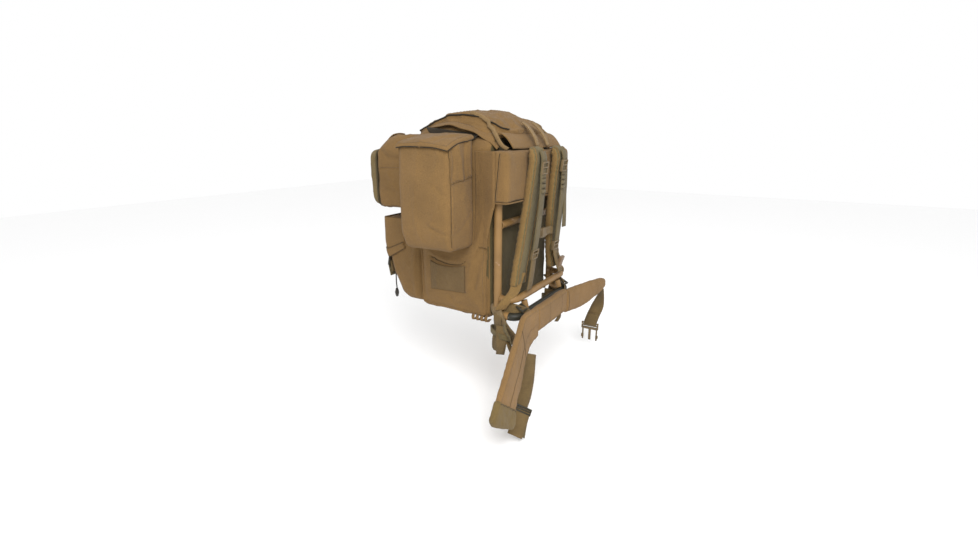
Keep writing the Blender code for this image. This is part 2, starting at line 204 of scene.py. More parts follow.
CORD_BLACK = braid("braided_cord", (0.020, 0.016, 0.012))
CORD_PLACE = Vector((0.13, -0.4008, 0))
CORD_TOP, CORD_END = 0.0735, 0.020
shape = bmesh.new()
bmesh.ops.create_cube(shape, size=1)
bmesh.ops.scale(shape, vec=(0.0055, 0.013, 0.029), verts=shape.verts)
bmesh.ops.subdivide_edges(shape, edges=shape.edges[:], cuts=5, use_grid_fill=True)
for vert in shape.verts:
    height = vert.co.z / 0.0145
    vert.co.y *= 1 - 0.75 * abs(height) ** 1.2
    crumple = Vector(noise.noise(vert.co * 160 + Vector((9.3 * k, 0, 0))) for k in range(3))
    vert.co += crumple * 0.0012
    vert.co += CORD_PLACE + Vector((0, 0, 0.0047))
pull = from_shape("cord_pull", shape, CORD_BLACK, "flap", "cord", "drawcord_pull")
cord_path = []
for k in range(20):
    drop = k / 19
    sway = Vector((0.0006 * sin(5 * drop), 0.0005 * sin(7 * drop), 0)) * drop
    cord_path.append(CORD_PLACE + sway + Vector((0, 0, CORD_TOP + (CORD_END - CORD_TOP) * drop)))
cord = line("drawcord_braid", [cord_path], 0.0019, CORD_BLACK, "flap", "cord", "drawcord")


# Frame: aluminium tube bent cold, with the cross bars welded on and the whole powder coated tan.
# The belt rail is a separate dark tube on the same mounts, bare of cloth between its two posts.
def coated(name, colour, roughness, chips):
    """Powder coat: fine orange peel, slow changes of tone and a few rubbed places."""
    made, tree, shader, place = nodes_of(name, roughness)
    slow = grain(tree, place.outputs["Object"], 14)
    tone = ramp(tree, slow, [(0.3, shade(colour, 0.82)), (0.55, colour), (0.75, shade(colour, 1.18))])
    rubbed = ramp(tree, grain(tree, place.outputs["Object"], 60, 6), [(0.66, (0, 0, 0)), (0.72, (1, 1, 1))])
    mix = tree.nodes.new("ShaderNodeMix")
    mix.data_type = "RGBA"
    tree.links.new(rubbed, mix.inputs["Factor"])
    tree.links.new(tone, mix.inputs["A"])
    mix.inputs["B"].default_value = (*chips, 1)
    tree.links.new(mix.outputs["Result"], shader.inputs["Base Color"])
    bump(tree, shader, grain(tree, place.outputs["Object"], 700), 0.0002)
    return made


def rounded(points, bends, steps=10):
    """The points with each inner corner turned into an arc of its bend's radius."""
    points = [Vector(p) for p in points]
    path = [points[0]]
    for before, corner, after, bend in zip(points, points[1:], points[2:], bends):
        to_before = (before - corner).normalized()
        to_after = (after - corner).normalized()
        half = to_before.angle(to_after) / 2
        centre = corner + (to_before + to_after).normalized() * bend / sin(half)
        start = corner + to_before * bend * cos(half) / sin(half) - centre
        end = corner + to_after * bend * cos(half) / sin(half) - centre
        for k in range(steps + 1):
            arc = start.rotation_difference(end)
            arc.angle *= k / steps
            path.append(centre + arc @ start)
    path.append(points[-1])
    return path


TUBE_R, BAR_R = 0.011, 0.010
FRAME_X, FRAME_TOP = 0.17, 0.440
FOOT_Y, RAIL_Y, RAIL_Z = 0.0365, 0.062, 0.018
MID_BAR_Z, BOW_Y, BOW_Z = 0.266, 0.050, 0.065
TAN_PAINT = coated("tan_powder_coat", (0.209, 0.119, 0.043), 0.42, (0.30, 0.20, 0.13))
DARK_PAINT = coated("dark_powder_coat", (0.020, 0.019, 0.013), 0.45, (0.09, 0.08, 0.06))
line("hoop_tube", [rounded([
    (-FRAME_X, FOOT_Y, RAIL_Z), (-FRAME_X, 0, RAIL_Z), (-FRAME_X, 0, FRAME_TOP),
    (FRAME_X, 0, FRAME_TOP), (FRAME_X, 0, RAIL_Z), (FRAME_X, FOOT_Y, RAIL_Z),
], [0.0245, 0.04, 0.04, 0.0245])], TUBE_R, TAN_PAINT, "bag_and_frame", "painted_tube", "frame_hoop", detail=8)
line("mid_bar_tube", [[(-0.1586, 0, MID_BAR_Z), (0.1586, 0, MID_BAR_Z)]], BAR_R,
     TAN_PAINT, "bag_and_frame", "painted_tube", "frame_mid_bar", detail=8)
line("lumbar_bow_tube", [rounded([
    (-FRAME_X, 0.0114, BOW_Z), (-FRAME_X, BOW_Y, BOW_Z), (FRAME_X, BOW_Y, BOW_Z), (FRAME_X, 0.0114, BOW_Z),
], [0.03, 0.03])], BAR_R, TAN_PAINT, "bag_and_frame", "painted_tube", "frame_lumbar_bow", detail=8)
line("belt_rail_tube", [rounded([
    (-FRAME_X, FOOT_Y + 0.0004, RAIL_Z), (-FRAME_X, RAIL_Y, RAIL_Z),
    (FRAME_X, RAIL_Y, RAIL_Z), (FRAME_X, FOOT_Y + 0.0004, RAIL_Z),
], [0.0245, 0.0245])], TUBE_R, DARK_PAINT, "bag_and_frame", "dark_tube", "belt_rail", detail=8)
for side, sign in SIDES:
    x = sign * 0.115
    line(f"post_tube_{side}", [[(x, 0.0535, 0.0525), (x, 0.0595, 0.0310)]], 0.009,
         TAN_PAINT, "bag_and_frame", "painted_tube", f"frame_post_{side}", detail=8)
beads = []
for side, sign in SIDES:
    for centre, axis in (((sign * 0.1585, 0, MID_BAR_Z), "x"), ((sign * FRAME_X, 0.0118, BOW_Z), "y")):
        loop = []
        for k in range(24):
            a, b = 0.0102 * cos(2 * pi * k / 24), 0.0102 * sin(2 * pi * k / 24)
            loop.append(Vector(centre) + (Vector((0, a, b)) if axis == "x" else Vector((a, 0, b))))
        beads.append(loop)
line("weld_beads", beads, 0.0016, TAN_PAINT, "bag_and_frame", "painted_tube", cyclic=True, detail=2)


# Bag: one stuffed cloth compartment, sewn from panels and open at the top under its lid.
# It hangs from the sleeve over the frame's top; its wearer side is an olive cloth, painted darker as the
# shade that falls between the frame and the straps.
def multiplied(tree, first, second):
    """Two colours multiplied."""
    mix = tree.nodes.new("ShaderNodeMix")
    mix.data_type = "RGBA"
    mix.blend_type = "MULTIPLY"
    mix.inputs["Factor"].default_value = 1.0
    tree.links.new(first, mix.inputs["A"])
    tree.links.new(second, mix.inputs["B"])
    return mix.outputs["Result"]


def cloth(name, colour, weave=1.0):
    """Heavy nylon cloth: a plain weave, speckled threads and slow faded and soiled places."""
    made, tree, shader, place = nodes_of(name, 0.88, 0.05)
    at = place.outputs["Object"]
    slow = grain(tree, at, 11, 4)
    tone = ramp(tree, slow, [(0.28, shade(colour, 0.88)), (0.5, colour), (0.72, shade(colour, 1.10))])
    speckle = grain(tree, at, 650, 2)
    threads = ramp(tree, speckle, [(0.3, (0.74, 0.74, 0.74)), (0.7, (1.26, 1.26, 1.26))])
    tree.links.new(multiplied(tree, tone, threads), shader.inputs["Base Color"])
    total = None
    for direction in "XYZ":
        wave = tree.nodes.new("ShaderNodeTexWave")
        wave.bands_direction = direction
        wave.inputs["Scale"].default_value = 260
        wave.inputs["Distortion"].default_value = 1.2
        wave.inputs["Detail"].default_value = 1.0
        tree.links.new(at, wave.inputs["Vector"])
        if total is None:
            total = wave.outputs["Fac"]
            continue
        add = tree.nodes.new("ShaderNodeMath")
        tree.links.new(total, add.inputs[0])
        tree.links.new(wave.outputs["Fac"], add.inputs[1])
        total = add.outputs["Value"]
    woven = bump(tree, shader, total, 0.00018 * weave)
    bump(tree, shader, grain(tree, at, 45, 5), 0.0022, 0.5, woven)
    return made


def outward(shape, centre):
    """Turns every face of an open shell away from its centre."""
    bmesh.ops.recalc_face_normals(shape, faces=shape.faces)
    if sum(f.normal.dot(f.calc_center_median() - Vector(centre)) for f in shape.faces) < 0:
        bmesh.ops.reverse_faces(shape, faces=shape.faces)


def thickened(piece, thick, offset=0):
    """Gives a single layer its thickness: half on each side, or all of it inside with an offset of -1."""
    layer = piece.modifiers.new("layer", "SOLIDIFY")
    layer.thickness = thick
    layer.offset = offset
    return piece


def on_side(sign, points):
    """Points of the right side, or their mirror places on the left."""
    return [(sign * x, y, z) for x, y, z in points]


def block(half, cell):
    """A cube from -1 to 1 with cells about this size once it is scaled to the half sizes."""
    shape = bmesh.new()
    bmesh.ops.create_cube(shape, size=2)
    for axis in range(3):
        across = [e for e in shape.edges if abs(e.verts[0].co[axis] - e.verts[1].co[axis]) > 1]
        cuts = max(2, round(2 * half[axis] / cell))
        bmesh.ops.subdivide_edges(shape, edges=across, cuts=cuts, use_grid_fill=True)
    return shape


def softened(place, half, corner):
    """A place on a -1 to 1 cube, moved on to a box of these half sizes with rounded edges."""
    full = Vector(c * h for c, h in zip(place, half))
    core = Vector(max(corner - h, min(h - corner, c)) for c, h in zip(full, half))
    out = full - core
    return core + out.normalized() * corner if out.length > 0 else full


def rumple(shape, depth, size, seed=0, tall=1.0):
    """Soft creases and hollows: every place moves along its normal."""
    shape.normal_update()
    moves = []
    for vert in shape.verts:
        at = Vector((vert.co.x, vert.co.y, vert.co.z / tall)) / size + Vector((seed, 2 * seed, 3 * seed))
        crease = 1 - min(1, abs(noise.noise(at * 1.3)) * 3)
        moves.append(vert.normal * depth * (noise.noise(at) * 1.2 + 0.7 * crease ** 2 - 0.2))
    for vert, move in zip(shape.verts, moves):
        vert.co += move


def stepped(path, step=0.004):
    """The path's places, close together."""
    places = []
    for start, end in zip(path, path[1:]):
        start, end = Vector(start), Vector(end)
        count = max(1, round((end - start).length / step))
        places += [start.lerp(end, k / count) for k in range(count)]
    return places + [Vector(path[-1])]


def curved(points, count=8):
    """A smooth path through all the points."""
    points = [Vector(p) for p in points]
    points = [2 * points[0] - points[1]] + points + [2 * points[-1] - points[-2]]
    path = []
    for a, b, c, d in zip(points, points[1:], points[2:], points[3:]):
        for k in range(count):
            t = k / count
            path.append(0.5 * (2 * b + (c - a) * t + (2 * a - 5 * b + 4 * c - d) * t ** 2
                               + (3 * b - a - 3 * c + d) * t ** 3))
    path.append(points[-2])
    return path


def press(shape, path, depth, width):
    """Presses a groove of this depth and width along a path, or raises a fold if the depth is below 0."""
    places = stepped(path, width / 2)
    tree = KDTree(len(places))
    for index, place in enumerate(places):
        tree.insert(place, index)
    tree.balance()
    shape.normal_update()
    for vert in shape.verts:
        distance = tree.find(vert.co)[2]
        if distance < 3 * width:
            vert.co -= vert.normal * depth * exp(-(distance / width) ** 2)


def laid(surface, path, lift=0.0004, step=0.004):
    """The path in short steps, each on the nearest cloth."""
    places = []
    for place in stepped(path, step):
        at, normal = surface.find_nearest(place)[:2]
        places.append(at + normal * lift)
    return places


def dashes(path, long=0.0028, gap=0.0016):
    """Short stitches along a laid path."""
    rows, run, start = [], 0.0, None
    for a, b in zip(path, path[1:]):
        length = (b - a).length
        at = 0.0
        while at < length:
            phase = run % (long + gap)
            if phase < long:
                end = min(at + long - phase, length)
                if end - at > 0.0005:
                    rows.append([a.lerp(b, at / length), a.lerp(b, end / length)])
                run += end - at + 1e-7
                at = end + 1e-7
            else:
                skip = long + gap - phase
                run += skip + 1e-7
                at += skip + 1e-7
    return rows


def stitching(name, surface, paths, body, slot, step=0.004):
    """Rows of thread on a surface."""
    rows = []
    for path in paths:
        rows += dashes(laid(surface, path, 0.0003, step))
    return line(name, rows, 0.00045, THREAD, body, slot, detail=0)


def skin(name, cells, place, finish, body, slot, *replaced, thick=0.003):
    """A single layer of cloth: place gives each point for u and v from 0 to 1."""
    shape = bmesh.new()
    bmesh.ops.create_grid(shape, x_segments=cells[0], y_segments=cells[1], size=1)
    for vert in shape.verts:
        vert.co = place((vert.co.x + 1) / 2, (vert.co.y + 1) / 2)
    bmesh.ops.recalc_face_normals(shape, faces=shape.faces)
    return thickened(from_shape(name, shape, finish, body, slot, *replaced), thick)


def part_way(path, share):
    """The place at a share of the way through a path's points."""
    at = share * (len(path) - 1)
    k = min(int(at), len(path) - 2)
    return path[k].lerp(path[k + 1], at - k)


def ribbon(name, path, width, cells, finish, body, slot, thick):
    """A flat strip of cloth along a path."""
    def place(u, v):
        return part_way(path, u) + width * (v - 0.5)
    return skin(name, cells, place, finish, body, slot, thick=thick)


def fold(shape, sign, folds):
    """Presses creases and raises folds. Each has its points on the right side, its depth and its width."""
    for points, depth, width in folds:
        press(shape, curved(on_side(sign, points)), depth, width)


TAN = cloth("tan_nylon", (0.157, 0.089, 0.030))
# Olive cloth made darker than the other olives: painted shade for the bag's wearer side.
OLIVE_AND_SHADE = cloth("olive_nylon_and_shade", (0.067, 0.049, 0.018))
# Near-black cloth for the real binding and zips, also laid as painted shade along the sleeve's side seams,
# the slots and the gaps under the lid's hem.
BINDING_AND_SHADE = cloth("binding_tape_and_shade", (0.020, 0.014, 0.007))
THREAD = braid("thread", (0.090, 0.054, 0.025))
BAG_X, BAG_Y, BAG_TOP, BAG_CORNER = 0.184, (-0.262, -0.0166), 0.500, 0.026
SHOULDER_Z, MOUTH_X = 0.462, 0.150


def bag_place(cube):
    """A place on the bag, from a place on the cube: square at its mouth and full lower down."""
    half = Vector((BAG_X, (BAG_Y[1] - BAG_Y[0]) / 2, BAG_TOP / 2))
    place = softened(cube, half, BAG_CORNER)
    place += Vector((0, (BAG_Y[0] + BAG_Y[1]) / 2, BAG_TOP / 2))
    if place.z > BAG_TOP - BAG_CORNER:
        place.z = max(place.z, (cube.z + 1) * BAG_TOP / 2)
    upper = max(0, min(1, (place.z - SHOULDER_Z) / (BAG_TOP - SHOULDER_Z)))
    place.x *= 1 - (1 - MOUTH_X / BAG_X) * upper
    swell = sin(pi * max(0, min(1, place.z / 0.34)))
    if abs(cube.x) > 0.99:
        place.x += 0.009 * cube.x * swell * (1 - cube.y ** 2)
    if cube.y > 0.99:
        place.y += 0.004 * swell * (1 - cube.x ** 2)
    return place


shape = block((BAG_X, 0.123, BAG_TOP / 2), 0.006)
bmesh.ops.delete(shape, geom=[f for f in shape.faces if f.normal.z > 0.9], context="FACES")
for vert in shape.verts:
    vert.co = bag_place(vert.co)
rumple(shape, 0.0035, 0.11, seed=3, tall=1.6)
for side, sign in SIDES:
    fold(shape, sign, (
        ([(0.19, -0.030, 0.290), (0.19, -0.062, 0.200), (0.19, -0.105, 0.162)], -0.0065, 0.007),
        ([(0.19, -0.030, 0.245), (0.19, -0.070, 0.160), (0.19, -0.084, 0.080)], -0.0055, 0.006),
        ([(0.19, -0.022, 0.200), (0.19, -0.052, 0.090), (0.19, -0.130, 0.035)], -0.0045, 0.009),
        ([(0.19, -0.024, 0.270), (0.19, -0.054, 0.185), (0.19, -0.084, 0.150)], 0.0055, 0.005),
        ([(0.19, -0.026, 0.220), (0.19, -0.052, 0.150), (0.19, -0.064, 0.090)], 0.0050, 0.005),
        ([(0.19, -0.150, 0.050), (0.19, -0.120, 0.030), (0.19, -0.060, 0.026)], 0.0030, 0.007),
        ([(0.19, -0.240, 0.200), (0.19, -0.246, 0.100), (0.19, -0.236, 0.015)], 0.005, 0.008),
    ))
    slot_path = curved(on_side(sign, (
        (0.19, -0.212, 0.162), (0.19, -0.179, 0.152), (0.19, -0.144, 0.147), (0.19, -0.110, 0.151),
        (0.19, -0.088, 0.164),
    )))
    press(shape, slot_path, 0.005, 0.0045)
    press(shape, [p + Vector((0, 0, 0.011)) for p in slot_path], -0.004, 0.006)
outward(shape, (0, -0.14, 0.25))
bag_surface = BVHTree.FromBMesh(shape)
bag = from_shape("bag_shell", shape, TAN, "bag_and_frame", "tan_cloth", "bag_back_panel", "bag_floor",
                 "bag_outer_panel", "bag_side_panel_left", "bag_side_panel_right", recalculated=False)
# Faces toward the wearer take the darker olive, which paints the shade there as well as the olive cloth.
bag.data.materials.append(OLIVE_AND_SHADE)
for face in bag.data.polygons:
    if face.normal.y > 0.8 and face.center.y > BAG_Y[1] - ORIGIN.y - 0.03:
        face.material_index = 1
thickened(bag, 0.0035, -1)
seams = []
for side, sign in SIDES:
    x = sign * 0.187
    seams.append(laid(bag_surface, [(x, -0.030, 0.455), (x, -0.0266, 0.250), (x, -0.0266, 0.020)], 0.0002))
    seams.append(laid(bag_surface, [(x, -0.250, 0.455), (x, -0.252, 0.250), (x, -0.250, 0.020)], 0.0002))
    seams.append(laid(bag_surface, [(x, -0.250, 0.014), (x, -0.140, 0.009), (x, -0.028, 0.014)], 0.0002))
line("bag_piping", seams, 0.0022, TAN, "bag_and_frame", "tan_cloth", detail=2)
stitch_paths = []
for side, sign in SIDES:
    x = sign * 0.19
    stitch_paths.append([(x, -0.040, 0.440), (x, -0.0366, 0.250), (x, -0.0366, 0.030)])
    stitch_paths.append([(x, -0.214, 0.148), (x, -0.214, 0.065), (x, -0.091, 0.070), (x, -0.091, 0.150)])
stitching("bag_stitches", bag_surface, stitch_paths, "bag_and_frame", "tan_cloth")
for side, sign in SIDES:
    x = sign * 0.19
    slot_path = curved(on_side(sign, (
        (0.19, -0.210, 0.1605), (0.19, -0.179, 0.1505), (0.19, -0.144, 0.1455), (0.19, -0.110, 0.1495),
        (0.19, -0.090, 0.1625),
    )))
    line(f"slot_shadow_{side}", [laid(bag_surface, slot_path, -0.0004)], 0.0011, BINDING_AND_SHADE,
         "bag_and_frame", "tan_cloth", detail=1)
    shape = bmesh.new()
    bmesh.ops.create_grid(shape, x_segments=40, y_segments=30, size=1)
    for vert in shape.verts:
        u, v = vert.co.x, vert.co.y
        bottom = Vector((x, -0.1525 + 0.0605 * u, 0.0675 + 0.0025 * u))
        top = Vector((x, -0.1525 + 0.0600 * u, 0.139 + 0.010 * u * u))
        at, normal = bag_surface.find_nearest(bottom.lerp(top, (v + 1) / 2))[:2]
        vert.co = at + normal * 0.0014
    bmesh.ops.recalc_face_normals(shape, faces=shape.faces)
    patch = from_shape(f"patch_{side}", shape, cloth(f"patch_{side}", (0.152, 0.093, 0.034), 3),
                       "bag_and_frame", "tan_cloth")
    thickened(patch, 0.002)
for side, sign in SIDES:
    for k in range(4):
        y = -0.070 + 0.014 * k
        x = sign * 0.184
        loop = curved([
            (x - sign * 0.004, y, 0.012), (x + sign * 0.004, y + 0.001, 0.008),
            (x + sign * 0.007, y + 0.003, 0.000), (x + sign * 0.002, y + 0.005, -0.004),
            (x - sign * 0.010, y + 0.006, 0.000),
        ], 4)
        ribbon(f"corner_loop_{side}_{k}", loop, Vector((0, 0.009, 0.002)), (16, 3), TAN, "bag_and_frame",
               "webbing", 0.0018)


# Frame sleeve: a band of doubled cloth over the frame's top, with a wing sewn back on to each side.
# The bag hangs from it; a cloth bridge joins its top to the lid's edge.
SLEEVE_Z = (0.328, 0.458)
SLEEVE_HALF, SLEEVE_CORNER, SLEEVE_Y = (0.1955, 0.0285, 0.085), 0.013, 0.0122
shape = block((0.195, 0.028, 0.065), 0.006)
bmesh.ops.delete(shape, geom=[f for f in shape.faces if f.normal.z < -0.9], context="FACES")
for vert in shape.verts:
    cube = vert.co.copy()
    place = softened(cube, SLEEVE_HALF, SLEEVE_CORNER)
    place += Vector((0, SLEEVE_Y, SLEEVE_Z[1] - SLEEVE_HALF[2]))
    if cube.z < 0:
        place.z = SLEEVE_Z[0] + (place.z - SLEEVE_Z[1] + 2 * SLEEVE_HALF[2]) * 0.55
    place.y += 0.003 * sin(pi * (place.z - 0.32) / 0.14) * (1 if cube.y > 0.9 else 0)
    vert.co = place
rumple(shape, 0.0016, 0.07, seed=7, tall=2)
outward(shape, (0, 0.012, 0.39))
sleeve_surface = BVHTree.FromBMesh(shape)
sleeve = from_shape("sleeve", shape, TAN, "bag_and_frame", "tan_cloth", "frame_sleeve", recalculated=False)
thickened(sleeve, 0.0025, -1)
sleeve_rows = []
for side, sign in SIDES:
    def wing_place(u, v, sign=sign):
        z = 0.205 + 0.252 * v
        back = 0.006 - 0.030 * max(0, min(1, (0.322 - z) / 0.095)) ** 0.8
        y = -0.062 + (back + 0.062) * u
        out = 0.1978 - 0.0105 * max(0, min(1, (0.322 - z) / 0.095))
        at = bag_surface.find_nearest(Vector((sign * 0.19, min(y, -0.030), z)))[0]
        x = abs(at.x) - 0.0012
        ease = max(0, min(1, (y + 0.062) / (back + 0.055)))
        x += (out - x) * ease ** 1.5
        x += 0.0022 * noise.noise(Vector((y * 26, z * 12, sign))) * sin(pi * u)
        return Vector((sign * x, y, z))
    skin(f"sleeve_wing_{side}", (20, 50), wing_place, TAN, "bag_and_frame", "tan_cloth", thick=0.0024)
    line(f"wing_edge_{side}", [[wing_place(1, k / 40) for k in range(19)]], 0.0016, TAN, "bag_and_frame",
         "tan_cloth", detail=2)
    x = sign * 0.197
    # A dark line painted as the shade in the sleeve's side seam.
    line(f"sleeve_seam_shade_{side}", [laid(sleeve_surface, [(x, 0.018, 0.455), (x, 0.006, 0.330)], 0.0003)],
         0.0009, BINDING_AND_SHADE, "bag_and_frame", "tan_cloth", detail=1)
    sleeve_rows.append([(x, 0.022, 0.452), (x, 0.010, 0.332)])
    sleeve_rows.append([(x, 0.000, 0.333), (x, 0.026, 0.333), (sign * 0.185, 0.042, 0.333),
                        (0, 0.043, 0.333)])
hem = []
for k in range(81):
    at = 2 * pi * k / 80
    cube = Vector((max(-1, min(1, 1.4 * cos(at))), max(-1, min(1, 1.4 * sin(at))), 0))
    hem.append(softened(cube, SLEEVE_HALF, SLEEVE_CORNER) + Vector((0, SLEEVE_Y, SLEEVE_Z[0] + 0.0002)))
line("sleeve_hem", [hem], 0.0020, TAN, "bag_and_frame", "tan_cloth", detail=2)
stitching("sleeve_stitches", sleeve_surface, sleeve_rows, "bag_and_frame", "tan_cloth")


def bridge_place(u, v):
    """A place on the cloth that runs from the bag's mouth to the sleeve's top."""
    x = 0.150 * (2 * u - 1)
    y = -0.012 + 0.044 * v
    z = 0.500 - 0.038 * v ** 1.4 + 0.005 * sin(pi * v)
    return Vector((x, y, z + 0.002 * noise.noise(Vector((x * 18, y * 30, 0)))))


skin("lid_bridge", (60, 14), bridge_place, TAN, "bag_and_frame", "tan_cloth")


# Lid: a domed cloth panel with bound edges over a soft skirt, closed at the bag's front by its weight.
# Its hem folds outward over each side pocket, and a narrow strap holds each side down to the sleeve.
PALE_TAPE = cloth("pale_tape", (0.190, 0.122, 0.052))
LID_Y = (-0.305, 0.002)
LID_X, LID_RIM = 0.142, 0.488
LID_EDGE = (
    (-0.305, 0.502), (-0.285, 0.508), (-0.255, 0.518), (-0.202, 0.541), (-0.169, 0.551), (-0.120, 0.551),
    (-0.073, 0.545), (-0.043, 0.530), (-0.013, 0.510), (0.002, 0.503),
)


def lid_edge(y):
    """The height of the lid's bound edge."""
    for (y0, z0), (y1, z1) in zip(LID_EDGE, LID_EDGE[1:]):
        if y <= y1:
            t = max(0, (y - y0) / (y1 - y0))
            t = t * t * (3 - 2 * t) * 0.4 + t * 0.6
            return z0 + (z1 - z0) * t
    return LID_EDGE[-1][1]


def lid_place(cube):
    """A place on the lid, from a place on the cube: it narrows to the front and slumps to the left."""
    half = (LID_X, 0.152, 0.030)
    place = softened(cube, half, 0.012)
    y = place.y + (LID_Y[0] + LID_Y[1]) / 2
    t = (place.z + half[2]) / (2 * half[2])
    bend = min(1, max(0, abs(place.y) - 0.087) / 0.065)
    narrow = (0.091 + 0.065 * (1 - bend ** 2) ** 0.5) / 0.156
    x = place.x * narrow * (1 + 0.14 * (1 - t) ** 1.5)
    crown = 0.011 * (1 - (x / LID_X) ** 2) if abs(x) < LID_X else 0
    crown -= 0.012 * max(0, -x / LID_X) ** 1.5 * (1 if y > -0.2 else 0.5)
    return Vector((x, y, LID_RIM + t * (lid_edge(y) + crown - LID_RIM)))


shape = block((LID_X, 0.152, 0.030), 0.005)
bmesh.ops.delete(shape, geom=[f for f in shape.faces if f.normal.z < -0.9], context="FACES")
for vert in shape.verts:
    vert.co = lid_place(vert.co)
rumple(shape, 0.0045, 0.065, seed=11)
for sign in (-1, 1):
    edge = [lid_place(Vector((sign, -0.95 + 1.9 * k / 30, 1))) for k in range(31)]
    press(shape, [p + Vector((-sign * 0.004, 0, 0.004)) for p in edge], -0.003, 0.006)
    press(shape, [p + Vector((sign * 0.004, 0, -0.007)) for p in edge], 0.0045, 0.006)
    fold(shape, sign, (
        ([(0.148, -0.190, 0.530), (0.150, -0.160, 0.522), (0.152, -0.110, 0.524)], 0.006, 0.006),
        ([(0.146, -0.150, 0.540), (0.150, -0.110, 0.530), (0.150, -0.070, 0.520)], 0.005, 0.005),
        ([(0.148, -0.100, 0.538), (0.151, -0.085, 0.520), (0.153, -0.060, 0.508)], -0.006, 0.006),
        ([(0.120, -0.030, 0.530), (0.095, -0.014, 0.520), (0.060, -0.010, 0.518)], 0.005, 0.006),
        ([(0.110, -0.070, 0.556), (0.100, -0.040, 0.540), (0.104, -0.012, 0.515)], -0.004, 0.008),
        ([(0.060, -0.080, 0.562), (0.075, -0.040, 0.548), (0.072, -0.010, 0.520)], 0.004, 0.007),
    ))
outward(shape, (0, -0.15, 0.50))
lid_surface = BVHTree.FromBMesh(shape)
lid = from_shape("lid_dome", shape, TAN, "lid", "tan_cloth", "lid", recalculated=False)
thickened(lid, 0.003, -1)
for side, sign in SIDES:
    edge = [lid_place(Vector((sign, -0.97 + 1.94 * k / 50, 1))) for k in range(51)]
    line(f"lid_binding_{side}", [laid(lid_surface, edge, 0.0008)], 0.0022, BINDING_AND_SHADE, "lid", "tan_cloth")
    stitching(f"lid_stitches_{side}", lid_surface, [[p + Vector((-sign * 0.010, 0, 0.002)) for p in edge]],
              "lid", "tan_cloth")
    hem = curved(on_side(sign, (
        (0.156, -0.225, 0.514), (0.167, -0.167, 0.521), (0.172, -0.118, 0.515),
        (0.172, -0.068, 0.500), (0.170, -0.032, 0.481), (0.172, -0.004, 0.462),
    )), 10)

    def hem_place(u, v, hem=hem, sign=sign):
        inward = Vector((-sign * 0.022, 0, 0.009))
        wave = 0.0015 * sin(21 * u + 2)
        return part_way(hem, u) + inward * v + Vector((0, 0, wave * (1 - v)))
    skin(f"lid_hem_{side}", (50, 5), hem_place, TAN, "lid", "tan_cloth", thick=0.0022)

    # A near-black sheet under each side of the hem, painted as the shade in the gap between the lid and the
    # side pocket.
    def gap_place(u, v, sign=sign):
        y = -0.225 + 0.165 * u
        z = 0.516 - 0.018 * u - 0.034 * sin(pi * u) ** 0.6 * v
        return Vector((sign * (0.1605 + 0.012 * v), y, z))
    skin(f"lid_gap_shade_{side}", (26, 5), gap_place, BINDING_AND_SHADE, "bag_and_frame", "tan_cloth", thick=0.001)
    strap = curved(on_side(sign, (
        (0.138, -0.105, 0.557), (0.145, -0.080, 0.553), (0.151, -0.055, 0.541), (0.157, -0.031, 0.520),
        (0.162, -0.013, 0.496), (0.164, 0.005, 0.472), (0.162, 0.022, 0.4615),
    )))
    for index, place in enumerate(strap[:36]):
        at, normal = lid_surface.find_nearest(place)[:2]
        strap[index] = (at + normal * 0.0022).lerp(place, (index / 35) ** 2)
    holder = ribbon(f"lid_strap_{side}", strap, Vector((0, 0.78, 0.62)) * 0.011, (40, 3), PALE_TAPE, None,
                    "webbing", 0.0018)
    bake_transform(holder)
    tab = curved(on_side(sign, (
        (0.030, -0.004, 0.530), (0.030, 0.012, 0.518), (0.031, 0.024, 0.505), (0.032, 0.036, 0.488),
        (0.033, 0.044, 0.468),
    )))
    holder = ribbon(f"lid_tab_{side}", tab, Vector((0.020, 0, 0)), (24, 4), PALE_TAPE, None, "webbing", 0.002)
    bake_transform(holder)


# Side pockets: deep boxes of cloth, each with a front, a gusset round it and a zipped, sloping lid.
# The zip runs under the lid's edge; each is sewn to the bag along its inner side.
# Dark cloth for lines painted as the shade in seams, hems and creases; the bartacks use it too.
SEAM_SHADE = cloth("seam_shadow", (0.049, 0.029, 0.011))
POCKET_X, POCKET_Y, POCKET_Z = (0.1845, 0.300), (-0.222, -0.068), (0.206, 0.470)


def pocket_place(cube, sign):
    """A place on a side pocket, from a place on the cube: full at its face and drawn in at its foot."""
    half = Vector((POCKET_X[1] - POCKET_X[0], POCKET_Y[1] - POCKET_Y[0], POCKET_Z[1] - POCKET_Z[0])) / 2
    place = softened(cube, half, 0.013)
    if cube.z > 0:
        place = softened(Vector((cube.x, cube.y, 0)), half, 0.013)
        place.z = cube.z * half.z
    place += Vector((POCKET_X[0] + half.x, POCKET_Y[0] + half.y, POCKET_Z[0] + half.z))
    low = max(0, min(1, (0.262 - place.z) / 0.056))
    high = max(0, min(1, (place.z - 0.400) / 0.070))
    middle = (POCKET_Y[0] + POCKET_Y[1]) / 2
    if place.y < middle:
        place.y = middle + (place.y - middle) * (1 - 0.12 * low ** 1.5)
    else:
        place.y = middle + (place.y - middle) * (1 - 0.04 * low)
    place.x -= 0.012 * low ** 2 * max(0, cube.x)
    place.y = middle + (place.y - middle) * 1.04
    rise = 0.018 * (POCKET_X[1] - place.x) / (POCKET_X[1] - POCKET_X[0])
    place.z += rise * high + 0.004 * high * (1 - cube.y ** 2)
    if cube.x > 0.99:
        place.x += 0.006 * (1 - cube.y ** 4) * (1 - cube.z ** 2) - 0.004 * high
    if abs(cube.y) > 0.99:
        place.y += 0.005 * cube.y * (1 - cube.x ** 2) * (1 - cube.z ** 2)
    place.x *= sign
    return place


